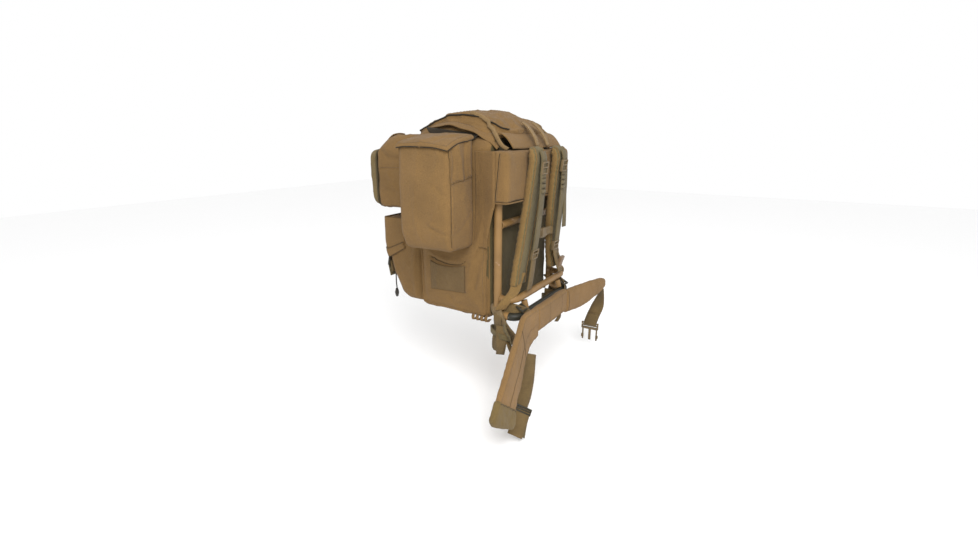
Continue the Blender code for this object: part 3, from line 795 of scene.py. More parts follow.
for side, sign in SIDES:
    shape = block((0.058, 0.077, 0.140), 0.0042)
    bmesh.ops.delete(shape, geom=[f for f in shape.faces if f.normal.z > 0.9], context="FACES")
    for vert in shape.verts:
        vert.co = pocket_place(vert.co, sign)
    outward(shape, (sign * 0.242, -0.145, 0.34))
    rumple(shape, 0.0022, 0.085, seed=20 + sign, tall=2.2)
    corner = [pocket_place(Vector((0.86, 1, -0.9 + 1.85 * k / 30)), sign) for k in range(31)]
    press(shape, corner, 0.0028, 0.0035)
    press(shape, [p - Vector((sign * 0.006, 0, 0)) for p in corner], -0.0018, 0.004)
    across = [(sign * x, -0.062, z) for x, z in ((0.292, 0.379), (0.240, 0.386), (0.188, 0.392))]
    press(shape, across, 0.0022, 0.003)
    fold(shape, sign, (
        ([(0.307, -0.118, 0.268), (0.308, -0.095, 0.258), (0.305, -0.072, 0.252)], 0.0042, 0.0045),
        ([(0.307, -0.122, 0.278), (0.308, -0.095, 0.270), (0.305, -0.072, 0.264)], -0.0030, 0.006),
        ([(0.307, -0.100, 0.370), (0.307, -0.080, 0.350), (0.303, -0.070, 0.310)], 0.0022, 0.007),
        ([(0.306, -0.120, 0.455), (0.306, -0.090, 0.448), (0.304, -0.070, 0.425)], -0.0030, 0.007),
        ([(0.306, -0.105, 0.462), (0.306, -0.082, 0.456), (0.304, -0.070, 0.440)], 0.0035, 0.005),
        ([(0.280, -0.062, 0.465), (0.276, -0.060, 0.430), (0.282, -0.060, 0.392)], 0.0050, 0.006),
        ([(0.256, -0.062, 0.468), (0.250, -0.060, 0.430), (0.246, -0.060, 0.390)], -0.0045, 0.008),
        ([(0.226, -0.062, 0.472), (0.230, -0.060, 0.430), (0.226, -0.060, 0.392)], 0.0040, 0.006),
        ([(0.204, -0.062, 0.476), (0.206, -0.060, 0.440), (0.200, -0.060, 0.395)], -0.0030, 0.006),
        ([(0.290, -0.060, 0.330), (0.250, -0.058, 0.342), (0.200, -0.058, 0.338)], -0.0020, 0.010),
        ([(0.285, -0.060, 0.250), (0.250, -0.058, 0.262), (0.200, -0.060, 0.300)], 0.0022, 0.008),
    ))
    surface = BVHTree.FromBMesh(shape)
    made = from_shape(f"side_pocket_cloth_{side}", shape, TAN, "bag_and_frame", "tan_cloth",
                      f"side_pocket_{side}", recalculated=False)
    thickened(made, 0.003, -1)
    # Dark lines painted as the shade in the pocket's pressed seams.
    line(f"pocket_seam_shade_{side}", [
        laid(surface, corner, 0.0001), laid(surface, across, 0.0001),
        laid(surface, [(sign * 0.187, -0.064, z) for z in (0.465, 0.340, 0.225)], 0.0001),
    ], 0.0007, SEAM_SHADE, "bag_and_frame", "tan_cloth", detail=1)
    stitching(f"pocket_stitches_{side}", surface, [
        [p - Vector((sign * 0.004, 0, 0)) for p in corner],
        [(x, y, z - 0.004) for x, y, z in across], [(x, y, z + 0.004) for x, y, z in across],
    ], "bag_and_frame", "tan_cloth")

    def top_place(cube, sign=sign):
        """A place on the pocket's lid, which slopes outward and droops at its corners."""
        place = softened(cube, (0.060, 0.0820, 0.0065), 0.0060)
        place += Vector((0.2425, -0.145, 0))
        slope = 0.018 * (POCKET_X[1] - place.x) / (POCKET_X[1] - POCKET_X[0])
        swell = 0.004 * (1 - cube.x ** 2) * (1 - cube.y ** 2)
        drop = 0.005 * max(0, cube.x) ** 4 + 0.004 * abs(cube.y) ** 6
        drop += 0.006 * exp(-((place.x - 0.300) ** 2 + (place.y + 0.070) ** 2) / 0.0009)
        return Vector((sign * place.x, place.y, place.z + 0.4765 + slope + swell - drop))

    shape = block((0.060, 0.080, 0.0065), 0.0042)
    for vert in shape.verts:
        vert.co = top_place(vert.co)
    bmesh.ops.recalc_face_normals(shape, faces=shape.faces)
    rumple(shape, 0.0020, 0.05, seed=31 + sign)
    fold(shape, sign, (
        ([(0.298, -0.150, 0.485), (0.270, -0.120, 0.492), (0.230, -0.085, 0.500)], -0.003, 0.009),
        ([(0.290, -0.110, 0.488), (0.260, -0.090, 0.495), (0.215, -0.072, 0.500)], 0.003, 0.007),
        ([(0.295, -0.205, 0.484), (0.250, -0.200, 0.492), (0.200, -0.205, 0.500)], 0.002, 0.008),
    ))
    surface = BVHTree.FromBMesh(shape)
    from_shape(f"side_lid_cloth_{side}", shape, TAN, f"side_lid_{side}", "tan_cloth",
               f"side_pocket_lid_{side}")
    edge = []
    for k in range(90):
        at = 2 * pi * k / 90
        reach = 1 / max(abs(cos(at)), abs(sin(at)))
        edge.append(top_place(Vector((cos(at) * reach, sin(at) * reach, -0.55)), sign))
    line(f"side_zip_{side}", [laid(surface, edge, 0.0002)], 0.0013, BINDING_AND_SHADE, f"side_lid_{side}",
         "tan_cloth", detail=1)
    stitching(f"side_lid_stitches_{side}", surface, [[
        top_place(Vector((x, y, 1)), sign) for x, y in ((-0.9, 0.93), (0, 0.93), (0.93, 0.93), (0.93, 0),
                                                       (0.93, -0.93), (0, -0.93), (-0.9, -0.93))
    ]], f"side_lid_{side}", "tan_cloth")


# Upper outer pocket: a gusset box on the bag's front, closed by a bulging panel that folds down.
# The panel is a greener cloth, piped round its edge; a grab tab is sewn on the gusset's top at the right.
FACE_OLIVE = cloth("face_olive", (0.137, 0.095, 0.033))
DARK_PIPING = cloth("dark_piping", (0.049, 0.036, 0.015))
UPPER_X, UPPER_Y, UPPER_MIDDLE_Z = 0.155, (-0.4255, -0.2624), 0.3715
shape = block((0.155, 0.082, 0.090), 0.005)
bmesh.ops.delete(shape, geom=[f for f in shape.faces if f.normal.y < -0.9], context="FACES")


def gusset_place(cube):
    """A place on the gusset, from a place on the cube: its top rises to the bag."""
    half = (UPPER_X, 0.0990, 0.0905)
    place = softened(Vector((cube.x, 0, cube.z)), half, 0.022)
    toward = (cube.y + 1) / 2
    y = UPPER_Y[0] + (UPPER_Y[1] - UPPER_Y[0]) * toward
    z = place.z + UPPER_MIDDLE_Z
    if z > 0.44:
        z += (0.040 * min(1, toward * 2.4) ** 0.6 - 0.004) * (z - 0.44) / 0.022
    pinch = 0.006 * sin(pi * toward)
    if abs(cube.x) > 0.99:
        place.x -= cube.x * pinch * (1 - cube.z ** 2) * 0.6
    if abs(cube.z) > 0.99:
        z -= 0.5 * cube.z * pinch * (1 - cube.x ** 2)
    return Vector((place.x, y, z))


for vert in shape.verts:
    vert.co = gusset_place(vert.co)
outward(shape, (0, -0.36, 0.37))
rumple(shape, 0.0030, 0.06, seed=41)
for side, sign in SIDES:
    x = sign * 0.155
    press(shape, [(x, -0.420, 0.398), (x, -0.345, 0.399), (x, -0.270, 0.398)], 0.003, 0.0035)
    fold(shape, sign, (
        ([(UPPER_X, -0.418, 0.448), (UPPER_X, -0.380, 0.430), (UPPER_X, -0.340, 0.425)], 0.004, 0.006),
        ([(UPPER_X, -0.400, 0.462), (UPPER_X, -0.370, 0.446), (UPPER_X, -0.330, 0.440)], -0.004, 0.006),
        ([(UPPER_X, -0.418, 0.350), (UPPER_X, -0.380, 0.345), (UPPER_X, -0.330, 0.352)], -0.0025, 0.008),
    ))
gusset_surface = BVHTree.FromBMesh(shape)
gusset = from_shape("upper_gusset_cloth", shape, TAN, "bag_and_frame", "tan_cloth", "upper_pocket_gusset",
                    recalculated=False)
thickened(gusset, 0.003, -1)
stitching("gusset_stitches", gusset_surface, [
    [(sign * 0.153, -0.420, 0.402), (sign * 0.153, -0.345, 0.403), (sign * 0.153, -0.270, 0.402)]
    for side, sign in SIDES
], "bag_and_frame", "tan_cloth")


def front_place(cube):
    """A place on the front panel, which bulges and rounds over to its piped edge."""
    place = softened(cube, (UPPER_X + 0.001, 0.020, 0.0905), 0.0195)
    flat = softened(Vector((cube.x, 0, cube.z)), (UPPER_X + 0.001, 0.1, 0.0905), 0.030)
    inset = (place.y + 0.020) / 0.040
    x = flat.x * (0.90 + 0.10 * min(1, inset) ** 0.5)
    z = flat.z * (0.86 + 0.14 * min(1, inset) ** 0.5)
    y = UPPER_Y[0] - 0.0405 + 0.040 * inset
    y -= 0.006 * (1 - cube.x ** 2) * (1 - cube.z ** 2) * (1 - inset)
    z += UPPER_MIDDLE_Z
    if z > 0.44:
        z -= 0.006 * (z - 0.44) / 0.022
    return Vector((x, y, z))


shape = block((0.155, 0.020, 0.090), 0.005)
bmesh.ops.delete(shape, geom=[f for f in shape.faces if f.normal.y > 0.9], context="FACES")
for vert in shape.verts:
    vert.co = front_place(vert.co)
outward(shape, (0, -0.42, 0.37))
rumple(shape, 0.0030, 0.08, seed=47)
front_surface = BVHTree.FromBMesh(shape)
front = from_shape("upper_front_cloth", shape, FACE_OLIVE, "upper_front", "olive_cloth", "upper_pocket_front",
                   recalculated=False)
thickened(front, 0.003, -1)
piping = []
for k in range(100):
    at = 2 * pi * k / 100
    reach = 1 / max(abs(cos(at)), abs(sin(at)))
    piping.append(front_place(Vector((cos(at) * reach, 0.92, sin(at) * reach))))
line("front_piping", [piping], 0.0028, DARK_PIPING, "upper_front", "tan_cloth", cyclic=True, detail=2)
stitching("front_stitches", front_surface, [
    [p * 0.96 + Vector((0, -0.025, 0.0148)) for p in piping + piping[:1]],
], "upper_front", "olive_cloth")
skin("front_tab", (12, 6), lambda u, v: Vector((
    0.085 + 0.045 * u, -0.3750 - 0.042 * v, 0.4985 - 0.030 * v ** 1.6 + 0.002 * sin(pi * u))),
    TAN, "bag_and_frame", "webbing", thick=0.003)


# Lower outer pocket: a tapered cloth box with its mouth in front, under a flap that wraps round its corners.
# Two straps hold the flap down through buckles; its top stays on the bag.
def webbed(name, colour):
    """Nylon webbing: ribs across its length, with speckled threads."""
    made, tree, shader, place = nodes_of(name, 0.8, 0.08)
    speckle = grain(tree, place.outputs["Object"], 500, 2)
    slow = grain(tree, place.outputs["Object"], 25)
    tone = ramp(tree, slow, [(0.3, shade(colour, 0.82)), (0.5, colour), (0.7, shade(colour, 1.15))])
    threads = ramp(tree, speckle, [(0.3, (0.78, 0.78, 0.78)), (0.7, (1.2, 1.2, 1.2))])
    tree.links.new(multiplied(tree, tone, threads), shader.inputs["Base Color"])
    ribs = tree.nodes.new("ShaderNodeTexWave")
    ribs.inputs["Scale"].default_value = 160
    ribs.inputs["Distortion"].default_value = 0.6
    tree.links.new(place.outputs["UV"], ribs.inputs["Vector"])
    bump(tree, shader, ribs.outputs["Fac"], 0.0005)
    return made


def tape(name, path, across, finish, body, slot, *replaced, thick=0.0022, rows=4):
    """Webbing along a path. across is its width as a vector, or a function of the path's share for it."""
    lengths = [0]
    for a, b in zip(path, path[1:]):
        lengths.append(lengths[-1] + (b - a).length)
    shape = bmesh.new()
    bmesh.ops.create_grid(shape, x_segments=len(path) - 1, y_segments=rows, size=1, calc_uvs=True)
    uv = shape.loops.layers.uv.verify()
    for vert in shape.verts:
        k = round((vert.co.x + 1) / 2 * (len(path) - 1))
        share = lengths[k] / lengths[-1]
        width = across(share) if callable(across) else across
        for loop in vert.link_loops:
            loop[uv].uv = (lengths[k], width.length * (vert.co.y + 1) / 2)
        vert.co = path[k] + width * vert.co.y / 2
    return thickened(from_shape(name, shape, finish, body, slot, *replaced), thick)


def add_box(shape, centre, size, turn=None):
    """Adds a box to a shape, turned about its own centre."""
    verts = bmesh.ops.create_cube(shape, size=1)["verts"]
    bmesh.ops.scale(shape, vec=size, verts=verts)
    if turn:
        bmesh.ops.rotate(shape, matrix=turn, verts=verts)
    bmesh.ops.translate(shape, vec=centre, verts=verts)


def eased(shape, offset=0.0008):
    """Rounds every edge, as a moulding has."""
    bmesh.ops.bevel(shape, geom=shape.edges[:], offset=offset, segments=2, profile=0.5, affect="EDGES",
                    material=-1)
    return shape


def lock(name, centre, size, frame_turn, body, *replaced, finish=None):
    """A ladder lock: a frame with two slots, and a lifting lip."""
    shape = bmesh.new()
    w, h, t = size
    for x in (-1, 1):
        add_box(shape, (x * (w / 2 - 0.002), 0, 0), (0.004, t, h))
    for z, deep in ((h / 2 - 0.002, 1.0), (0.002, 1.2), (-h / 2 + 0.0025, 1.5)):
        add_box(shape, (0, 0, z), (w - 0.004, t * deep * 0.8, 0.004))
    eased(shape)
    bmesh.ops.rotate(shape, matrix=frame_turn, verts=shape.verts)
    bmesh.ops.translate(shape, vec=centre, verts=shape.verts)
    return from_shape(name, shape, finish or PLASTIC, body, "plastic", *replaced)


WEBBING = webbed("tan_webbing", (0.125, 0.081, 0.030))
OLIVE_WEBBING = webbed("olive_webbing", (0.108, 0.081, 0.035))
PALE_WEBBING = webbed("pale_webbing", (0.165, 0.112, 0.052))
PLASTIC = coated("moulded_plastic", (0.125, 0.086, 0.042), 0.38, (0.32, 0.25, 0.17))
DARK_PLASTIC = coated("dark_plastic", (0.026, 0.021, 0.011), 0.4, (0.09, 0.07, 0.05))
PALE_PLASTIC = coated("pale_plastic", (0.175, 0.112, 0.064), 0.38, (0.40, 0.30, 0.22))
LOWER_HALF = (0.155, 0.076, 0.127)
LOWER_FRONT = ((0.0, -0.332), (0.03, -0.362), (0.10, -0.392), (0.18, -0.414), (0.25, -0.414))
FLAP_Z = 0.2544


def lower_front(z):
    """How far out the lower pocket's front wall is at a height."""
    for (z0, y0), (z1, y1) in zip(LOWER_FRONT, LOWER_FRONT[1:]):
        if z <= z1:
            return y0 + (y1 - y0) * max(0, z - z0) / (z1 - z0)
    return LOWER_FRONT[-1][1]


def lower_place(cube):
    """A place on the lower pocket, from a place on the cube: it tapers to its floor."""
    place = softened(cube, LOWER_HALF, 0.020)
    z = max(0.001, place.z + LOWER_HALF[2])
    deep = (place.y / LOWER_HALF[1] + 1) / 2
    front = lower_front(z)
    y = front + (-0.2624 - front) * deep
    x = place.x
    if abs(cube.x) > 0.99:
        x += cube.x * 0.004 * (1 - cube.y ** 2) * (1 - cube.z ** 2)
    if cube.y < -0.99:
        y -= 0.006 * (1 - cube.x ** 2) * (1 - cube.z ** 2)
    return Vector((x, y, z))


shape = block(LOWER_HALF, 0.005)
mouth = [f for f in shape.faces if f.normal.y < -0.9 and f.calc_center_median().z > 0.62]
bmesh.ops.delete(shape, geom=mouth, context="FACES")
for vert in shape.verts:
    vert.co = lower_place(vert.co)
outward(shape, (0, -0.33, 0.12))
rumple(shape, 0.0032, 0.09, seed=53, tall=1.5)
for side, sign in SIDES:
    fold(shape, sign, (
        ([(0.158, -0.270, 0.180), (0.158, -0.274, 0.090), (0.158, -0.272, 0.010)], 0.006, 0.006),
        ([(0.158, -0.290, 0.200), (0.158, -0.300, 0.110), (0.158, -0.296, 0.020)], -0.004, 0.010),
        ([(0.158, -0.384, 0.120), (0.158, -0.356, 0.060), (0.158, -0.310, 0.020)], -0.002, 0.010),
    ))
lower_surface = BVHTree.FromBMesh(shape)
lower = from_shape("lower_pocket_cloth", shape, TAN, "bag_and_frame", "tan_cloth", "lower_pocket_body",
                   "lower_pocket_top", recalculated=False)
thickened(lower, 0.003, -1)
stitching("lower_stitches", lower_surface, [
    [(sign * 0.158, -0.398, 0.125), (sign * 0.158, -0.372, 0.060), (sign * 0.158, -0.345, 0.020)]
    for side, sign in SIDES
], "bag_and_frame", "tan_cloth")


def flap_place(u, v, out=0.0):
    """v runs down the flap from its seam, and u runs round it from one side wing to the other."""
    along = (u - 0.5) * 0.470
    front, corner = 0.1385, 0.0200
    side = 1 if along > 0 else -1
    reach = abs(along)
    wing = max(0, reach - front - corner * pi / 2)
    bottom = 0.130 + 0.0035 * sin(9 * u + 1) + 0.56 * wing
    z = FLAP_Z + (bottom - FLAP_Z) * v
    lean = -0.4175 + 0.009 * max(0, (0.178 - z) / 0.05) - 0.003 * sin(pi * min(1, v))
    lean -= out
    if reach < front:
        x, y = along, lean
    elif wing == 0:
        turn = (reach - front) / corner
        x = side * (front + (corner + out) * sin(turn))
        y = lean + corner * (1 - cos(turn))
    else:
        x, y = side * (front + corner + out), lean + corner + wing
    ripple = 0.0018 * noise.noise(Vector((along * 14, z * 22, 5)))
    return Vector((x + (ripple * side if reach > front else 0), y + (ripple if reach < front else 0), z))


skin("flap_cloth", (90, 26), flap_place, TAN, "flap", "tan_cloth", "lower_pocket_flap")
skin("flap_hem", (90, 5), lambda u, v: flap_place(u, 0.80 + 0.21 * v, 0.0022 + 0.0010 * sin(pi * v)),
     TAN, "flap", "tan_cloth", thick=0.002)
# Dark lines painted as the shade along the hem's two folded edges.
hem_rows = []
for share in (0.80, 1.005):
    hem_rows.append([flap_place(k / 90, share, 0.0030) for k in range(91)])
line("flap_hem_shade", hem_rows, 0.0009, SEAM_SHADE, "flap", "tan_cloth", detail=1)
for side, sign in SIDES:
    x = sign * 0.13
    path = curved([
        (x, -0.4215, 0.236), (x, -0.4235, 0.200), (x, -0.4230, 0.165), (x, -0.4175, 0.135),
        (x, -0.4105, 0.110), (x, -0.4055, 0.076),
    ])
    tape(f"flap_tape_{side}", path, Vector((0.025, 0, 0)), WEBBING, "flap", "webbing", f"flap_strap_{side}")
    lock(f"flap_lock_{side}", (x, -0.4135, 0.112), (0.031, 0.030, 0.007),
         Matrix.Rotation(radians(-12), 3, "X"), "flap", finish=DARK_PLASTIC)
    tape(f"flap_tail_{side}", curved([
        (x, -0.4165, 0.116), (x, -0.4195, 0.100), (x, -0.4160, 0.080), (x, -0.4125, 0.062),
    ]), Vector((0.024, 0, 0)), OLIVE_WEBBING, "flap", "webbing")


# Shoulder straps: foam pads in olive cloth with pale quilted edges, hung from the top of the sleeve.
# Each carries webbing down its face between two ladder locks, and a sternum strap joins the two.
def stuffed(name, edges, thick, finish, body, slot, *replaced, cell=0.0045, puff=0.35, pucker=0.0, pitch=0.02,
            rim=None, seed=0, ruck=0.0012):
    """Makes a pad and gives its surface, to lay seams on.

    Each station in edges holds its two edges' places on the wearer's side, and the pad is thick behind them.
    """
    firsts = curved([a for a, b in edges], 8)
    seconds = curved([b for a, b in edges], 8)
    middles = [(a + b) / 2 for a, b in zip(firsts, seconds)]
    lengths = [0]
    for a, b in zip(middles, middles[1:]):
        lengths.append(lengths[-1] + (b - a).length)
    long = lengths[-1]
    wide = sum((b - a).length for a, b in zip(firsts, seconds)) / len(firsts)
    shape = block((long / 2, wide / 2, thick / 2), cell)
    rim_verts = set()
    shape.verts.index_update()
    for vert in shape.verts:
        cube = vert.co.copy()
        place = softened(cube, (long / 2, wide / 2, thick / 2), thick * 0.42)
        edge = abs(place.y) / (wide / 2)
        run = place.x + long / 2
        place.z *= 1 + puff * (1 - edge ** 2) - pucker * edge ** 4 * (0.5 + 0.5 * cos(2 * pi * run / pitch))
        k = 0
        while k < len(lengths) - 2 and lengths[k + 1] < run:
            k += 1
        t = (run - lengths[k]) / (lengths[k + 1] - lengths[k])
        a = firsts[k].lerp(firsts[k + 1], t)
        b = seconds[k].lerp(seconds[k + 1], t)
        out = (middles[k + 1] - middles[k]).cross(b - a).normalized()
        vert.co = (a + b) / 2 + (b - a) * (place.y / wide) + out * (place.z - thick / 2)
        if abs(cube.y) > 0.99:
            rim_verts.add(vert.index)
    if rim:
        for face in shape.faces:
            if all(vert.index in rim_verts for vert in face.verts):
                face.material_index = 1
    bmesh.ops.recalc_face_normals(shape, faces=shape.faces)
    rumple(shape, ruck, 0.03, seed=seed)
    surface = BVHTree.FromBMesh(shape)
    made = from_shape(name, shape, finish, body, slot, *replaced)
    if rim:
        made.data.materials.append(rim)
    return surface


PAD_OLIVE = cloth("pad_olive", (0.119, 0.092, 0.040))
PAD_EDGE = cloth("pad_edge", (0.192, 0.115, 0.037), 2)
PAD_PATH = (
    (0.071, 0.0430, 0.462), (0.071, 0.056, 0.4655), (0.072, 0.0675, 0.457), (0.073, 0.0725, 0.434),
    (0.074, 0.069, 0.40), (0.077, 0.062, 0.34), (0.084, 0.055, 0.27), (0.095, 0.049, 0.20),
    (0.110, 0.046, 0.14), (0.121, 0.046, 0.096),
)
WEB_PATH = (
    (0.066, 0.0745, 0.455), (0.066, 0.0800, 0.436), (0.066, 0.0790, 0.410), (0.066, 0.0785, 0.392),
    (0.066, 0.0775, 0.354), (0.067, 0.0740, 0.30), (0.069, 0.0685, 0.244), (0.071, 0.0620, 0.185),
)
TAIL_PATH = (
    (0.071, 0.0590, 0.176), (0.074, 0.0600, 0.160), (0.084, 0.0615, 0.132), (0.098, 0.0640, 0.104),
    (0.110, 0.0655, 0.084),
)
for side, sign in SIDES:
    edges = []
    for k, (x, y, z) in enumerate(PAD_PATH):
        half = 0.031 * (0.86 if k == 0 else 1)
        edges.append((Vector((sign * x + half, y, z)), Vector((sign * x - half, y, z))))
    surface = stuffed(f"pad_{side}", edges, 0.0240, PAD_OLIVE, "straps", "olive_cloth",
                      f"shoulder_pad_{side}", cell=0.0042, puff=0.12, pucker=0.35, pitch=0.016,
                      rim=PAD_EDGE, seed=60 + sign)
    rows = []
    for edge in (-1, 1):
        rows.append([(sign * x + edge * 0.0262, y + 0.004, z + 0.001) for x, y, z in PAD_PATH[1:]])
    line(f"pad_piping_{side}", [laid(surface, curved(row, 4), 0.0006) for row in rows], 0.0016, PAD_EDGE,
         "straps", "olive_cloth", detail=2)
    stitching(f"pad_stitches_{side}", surface, [
        [p - Vector((edge * 0.005, 0, 0)) for p in curved(row, 4)] for edge, row in zip((-1, 1), rows)
    ], "straps", "olive_cloth")
    web = curved([(sign * (x + 0.004), y + 0.0012, z) for x, y, z in WEB_PATH])
    tape(f"strap_tape_{side}", web, Vector((0.032, 0, 0)), OLIVE_WEBBING, "straps", "webbing",
         f"shoulder_webbing_{side}")
    daisy = []
    for z in (0.386, 0.372, 0.358, 0.344):
        y = 0.0805 + (z - 0.386) * 0.05
        daisy.append([Vector((sign * 0.066 - 0.0125, y, z)), Vector((sign * 0.066 + 0.0125, y, z))])
    line(f"bartacks_{side}", daisy, 0.0009, SEAM_SHADE, "straps", "webbing", detail=1)
    for k, z in enumerate((0.379, 0.365, 0.351)):
        tape(f"daisy_{side}_{k}", curved([
            (sign * 0.066 - 0.013, 0.0800, z), (sign * 0.066, 0.0835, z), (sign * 0.066 + 0.013, 0.0800, z),
        ]), Vector((0, 0, 0.010)), OLIVE_WEBBING, "straps", "webbing", thick=0.0016, rows=2)
    tape(f"adjuster_tape_{side}", curved(on_side(sign, TAIL_PATH)),
         Vector((0.030, 0, 0)), WEBBING, "straps", "webbing", f"adjuster_webbing_{side}")
    lock(f"upper_lock_{side}", (sign * 0.066, 0.0815, 0.412), (0.034, 0.033, 0.0075),
         Matrix.Rotation(radians(-8), 3, "X"), "straps", f"ladder_lock_upper_{side}")
    lock(f"lower_lock_{side}", (sign * 0.071, 0.0610, 0.1765), (0.036, 0.028, 0.0080),
         Matrix.Rotation(radians(-10), 3, "X"), "straps", f"ladder_lock_lower_{side}")
    anchor = curved(on_side(sign, (
        (0.120, 0.043, 0.132), (0.130, 0.041, 0.110), (0.148, 0.041, 0.090), (0.171, 0.039, 0.075),
        (0.1845, 0.028, 0.054), (0.186, 0.017, 0.036),
    )))
    across = Vector((-sign * 0.010, 0.0120, 0))
    stuffed(f"anchor_strip_{side}", [(p - across, p + across) for p in anchor[::4]], 0.0085, PAD_EDGE,
            "bag_and_frame", "webbing", f"anchor_webbing_{side}", puff=0.1, pucker=0.3, pitch=0.014, seed=66)
    sternum = curved([(sign * x, y, 0.2245) for x, y in (
        (0.0190, 0.0515), (0.0280, 0.0505), (0.0380, 0.0510), (0.0480, 0.0525), (0.0560, 0.0570),
    )])
    tape(f"sternum_tape_{side}", sternum, Vector((0, 0, 0.024)), WEBBING, "straps", "webbing",
         f"sternum_webbing_{side}", thick=0.003)
shape = bmesh.new()
add_box(shape, (0, 0.051, 0.225), (0.022, 0.010, 0.028))
add_box(shape, (-0.015, 0.051, 0.225), (0.010, 0.008, 0.024))
for z in (-1, 1):
    add_box(shape, (0.0125, 0.051, 0.225 + z * 0.0105), (0.016, 0.007, 0.0045))
add_box(shape, (0.0185, 0.051, 0.225), (0.0035, 0.008, 0.026))
from_shape("sternum_clip", eased(shape), PLASTIC, "straps", "plastic", "sternum_buckle")

# Strap end: a side-release buckle on the left strap's lower webbing, left hanging open.
shape = bmesh.new()
turn = Matrix.Rotation(radians(-16), 3, "X")
middle = Vector((-0.106, 0.066, 0.1175))
for offset, size in (
    ((0, 0, 0.011), (0.026, 0.0095, 0.013)), ((0, 0, -0.003), (0.020, 0.0080, 0.016)),
    ((-0.0095, 0, -0.004), (0.0035, 0.0085, 0.018)), ((0.0095, 0, -0.004), (0.0035, 0.0085, 0.018)),
    ((0, 0, -0.0155), (0.026, 0.0090, 0.0040)),
):
    add_box(shape, middle + turn @ Vector(offset), size, turn)
from_shape("strap_end_clip", eased(shape), PALE_PLASTIC, "straps", "plastic", "strap_end_buckle_left")
tape("strap_end_tape", curved([
    (-0.080, 0.0575, 0.150), (-0.092, 0.061, 0.145), (-0.101, 0.0645, 0.135), (-0.106, 0.066, 0.124),
]), Vector((0.020, 0, 0.010)), WEBBING, "straps", "webbing")

# Loose webbing: the left strap's spare end, free to swing from its lock.
loose = curved([
    (-0.0930, 0.0765, 0.400), (-0.0945, 0.0772, 0.360), (-0.0955, 0.0760, 0.320), (-0.0948, 0.0768, 0.275),
    (-0.0955, 0.0764, 0.230),
])
tape("loose_tape", loose, lambda t: Vector((0.021, 0.002 * sin(5 * t), 0)), OLIVE_WEBBING, "loose_webbing",
     "webbing", "loose_webbing")


# Hip belt: a lumbar pad on the rail between the posts, and two padded wings that wrap round the wearer.
# The right wing ends in a stitched sleeve with webbing looped behind it; the left one in a free buckle.
BELT = cloth("belt_nylon", (0.190, 0.108, 0.039))
shape = block((0.105, 0.011, 0.036), 0.0045)
for vert in shape.verts:
    place = softened(vert.co, (0.1055, 0.0115, 0.0365), 0.0095)
    place.y *= 1 + 0.10 * (1 - (place.x / 0.1055) ** 2) * (1 - (place.z / 0.0365) ** 2)
    vert.co = place + Vector((0, 0.0843, -0.004))
bmesh.ops.recalc_face_normals(shape, faces=shape.faces)
rumple(shape, 0.0010, 0.05, seed=70)
surface = BVHTree.FromBMesh(shape)
lumbar = from_shape("lumbar_cushion", shape, BELT, "bag_and_frame", "tan_cloth", "lumbar_pad")
stitching("lumbar_stitches", surface, [
    [(-0.098, 0.097, 0.024), (0.098, 0.097, 0.024)], [(-0.098, 0.097, -0.032), (0.098, 0.097, -0.032)],
    [(0.030, 0.097, 0.030), (0.030, 0.097, -0.038)], [(-0.060, 0.097, 0.030), (-0.060, 0.097, -0.038)],
], "bag_and_frame", "tan_cloth")

RIGHT_WING = (
    ((0.1010, 0.0944, 0.034), (0.1010, 0.0944, -0.054)),
    ((0.180, 0.0960, 0.034), (0.150, 0.0960, -0.064)),
    ((0.228, 0.1050, 0.008), (0.200, 0.1050, -0.090)),
    ((0.278, 0.1150, -0.024), (0.241, 0.1150, -0.140)),
    ((0.328, 0.1250, -0.058), (0.277, 0.1250, -0.155)),
    ((0.366, 0.1315, -0.087), (0.297, 0.1315, -0.164)),
    ((0.396, 0.1350, -0.112), (0.309, 0.1350, -0.176)),
)
LEFT_WING = (
    ((-0.1030, 0.0944, -0.048), (-0.1030, 0.0944, 0.026)),
    ((-0.165, 0.1020, -0.054), (-0.168, 0.1020, 0.024)),
    ((-0.220, 0.1090, -0.056), (-0.225, 0.1090, 0.020)),
    ((-0.285, 0.1180, -0.050), (-0.288, 0.1180, 0.016)),
    ((-0.344, 0.1260, -0.040), (-0.345, 0.1260, 0.010)),
    ((-0.382, 0.1300, -0.024), (-0.374, 0.1300, 0.004)),
)
surface = stuffed("wing_right_cloth", [(Vector(a), Vector(b)) for a, b in RIGHT_WING], 0.0165, BELT,
                  "wing_right", "tan_cloth", "belt_wing_right", cell=0.005, puff=0.25, pucker=0.10, seed=71)
rows = []
for share in (0.06, 0.52, 0.94):
    rows.append(curved([Vector(a).lerp(Vector(b), share) + Vector((0, 0.004, 0)) for a, b in RIGHT_WING]))
# Dark lines painted as the shade in the wing's middle crease and in the seam across it.
crease = rows[1][len(rows[1]) // 3:]
line("wing_right_crease_shade", [laid(surface, crease, 0.0001)], 0.0007, SEAM_SHADE, "wing_right", "tan_cloth", detail=1)
a, b = (Vector(p) for p in RIGHT_WING[2])
rows.append([a.lerp(b, k / 10) + Vector((-0.004, 0.004, 0.004)) for k in range(11)])
line("wing_right_seam_shade", [laid(surface, rows[3], 0.0001)], 0.0008, SEAM_SHADE, "wing_right", "tan_cloth", detail=1)
stitching("wing_right_stitches", surface, rows, "wing_right", "tan_cloth")
TIP_CLOTH = cloth("tip_nylon", (0.131, 0.088, 0.031))
TIP = (
    ((0.3880, 0.1375, -0.1020), (0.3060, 0.1375, -0.1670)),
    ((0.409, 0.1385, -0.118), (0.311, 0.1385, -0.184)),
    ((0.422, 0.1400, -0.132), (0.316, 0.1400, -0.197)),
    ((0.420, 0.1410, -0.146), (0.320, 0.1410, -0.206)),
    ((0.414, 0.1420, -0.160), (0.326, 0.1420, -0.214)),
)
surface = stuffed("tip_sleeve", [(Vector(a), Vector(b)) for a, b in TIP], 0.0200, TIP_CLOTH,
                  "wing_right", "tan_cloth", "wing_tip_right", puff=0.15, pucker=0.15, pitch=0.03, seed=73,
                  ruck=0.0022)
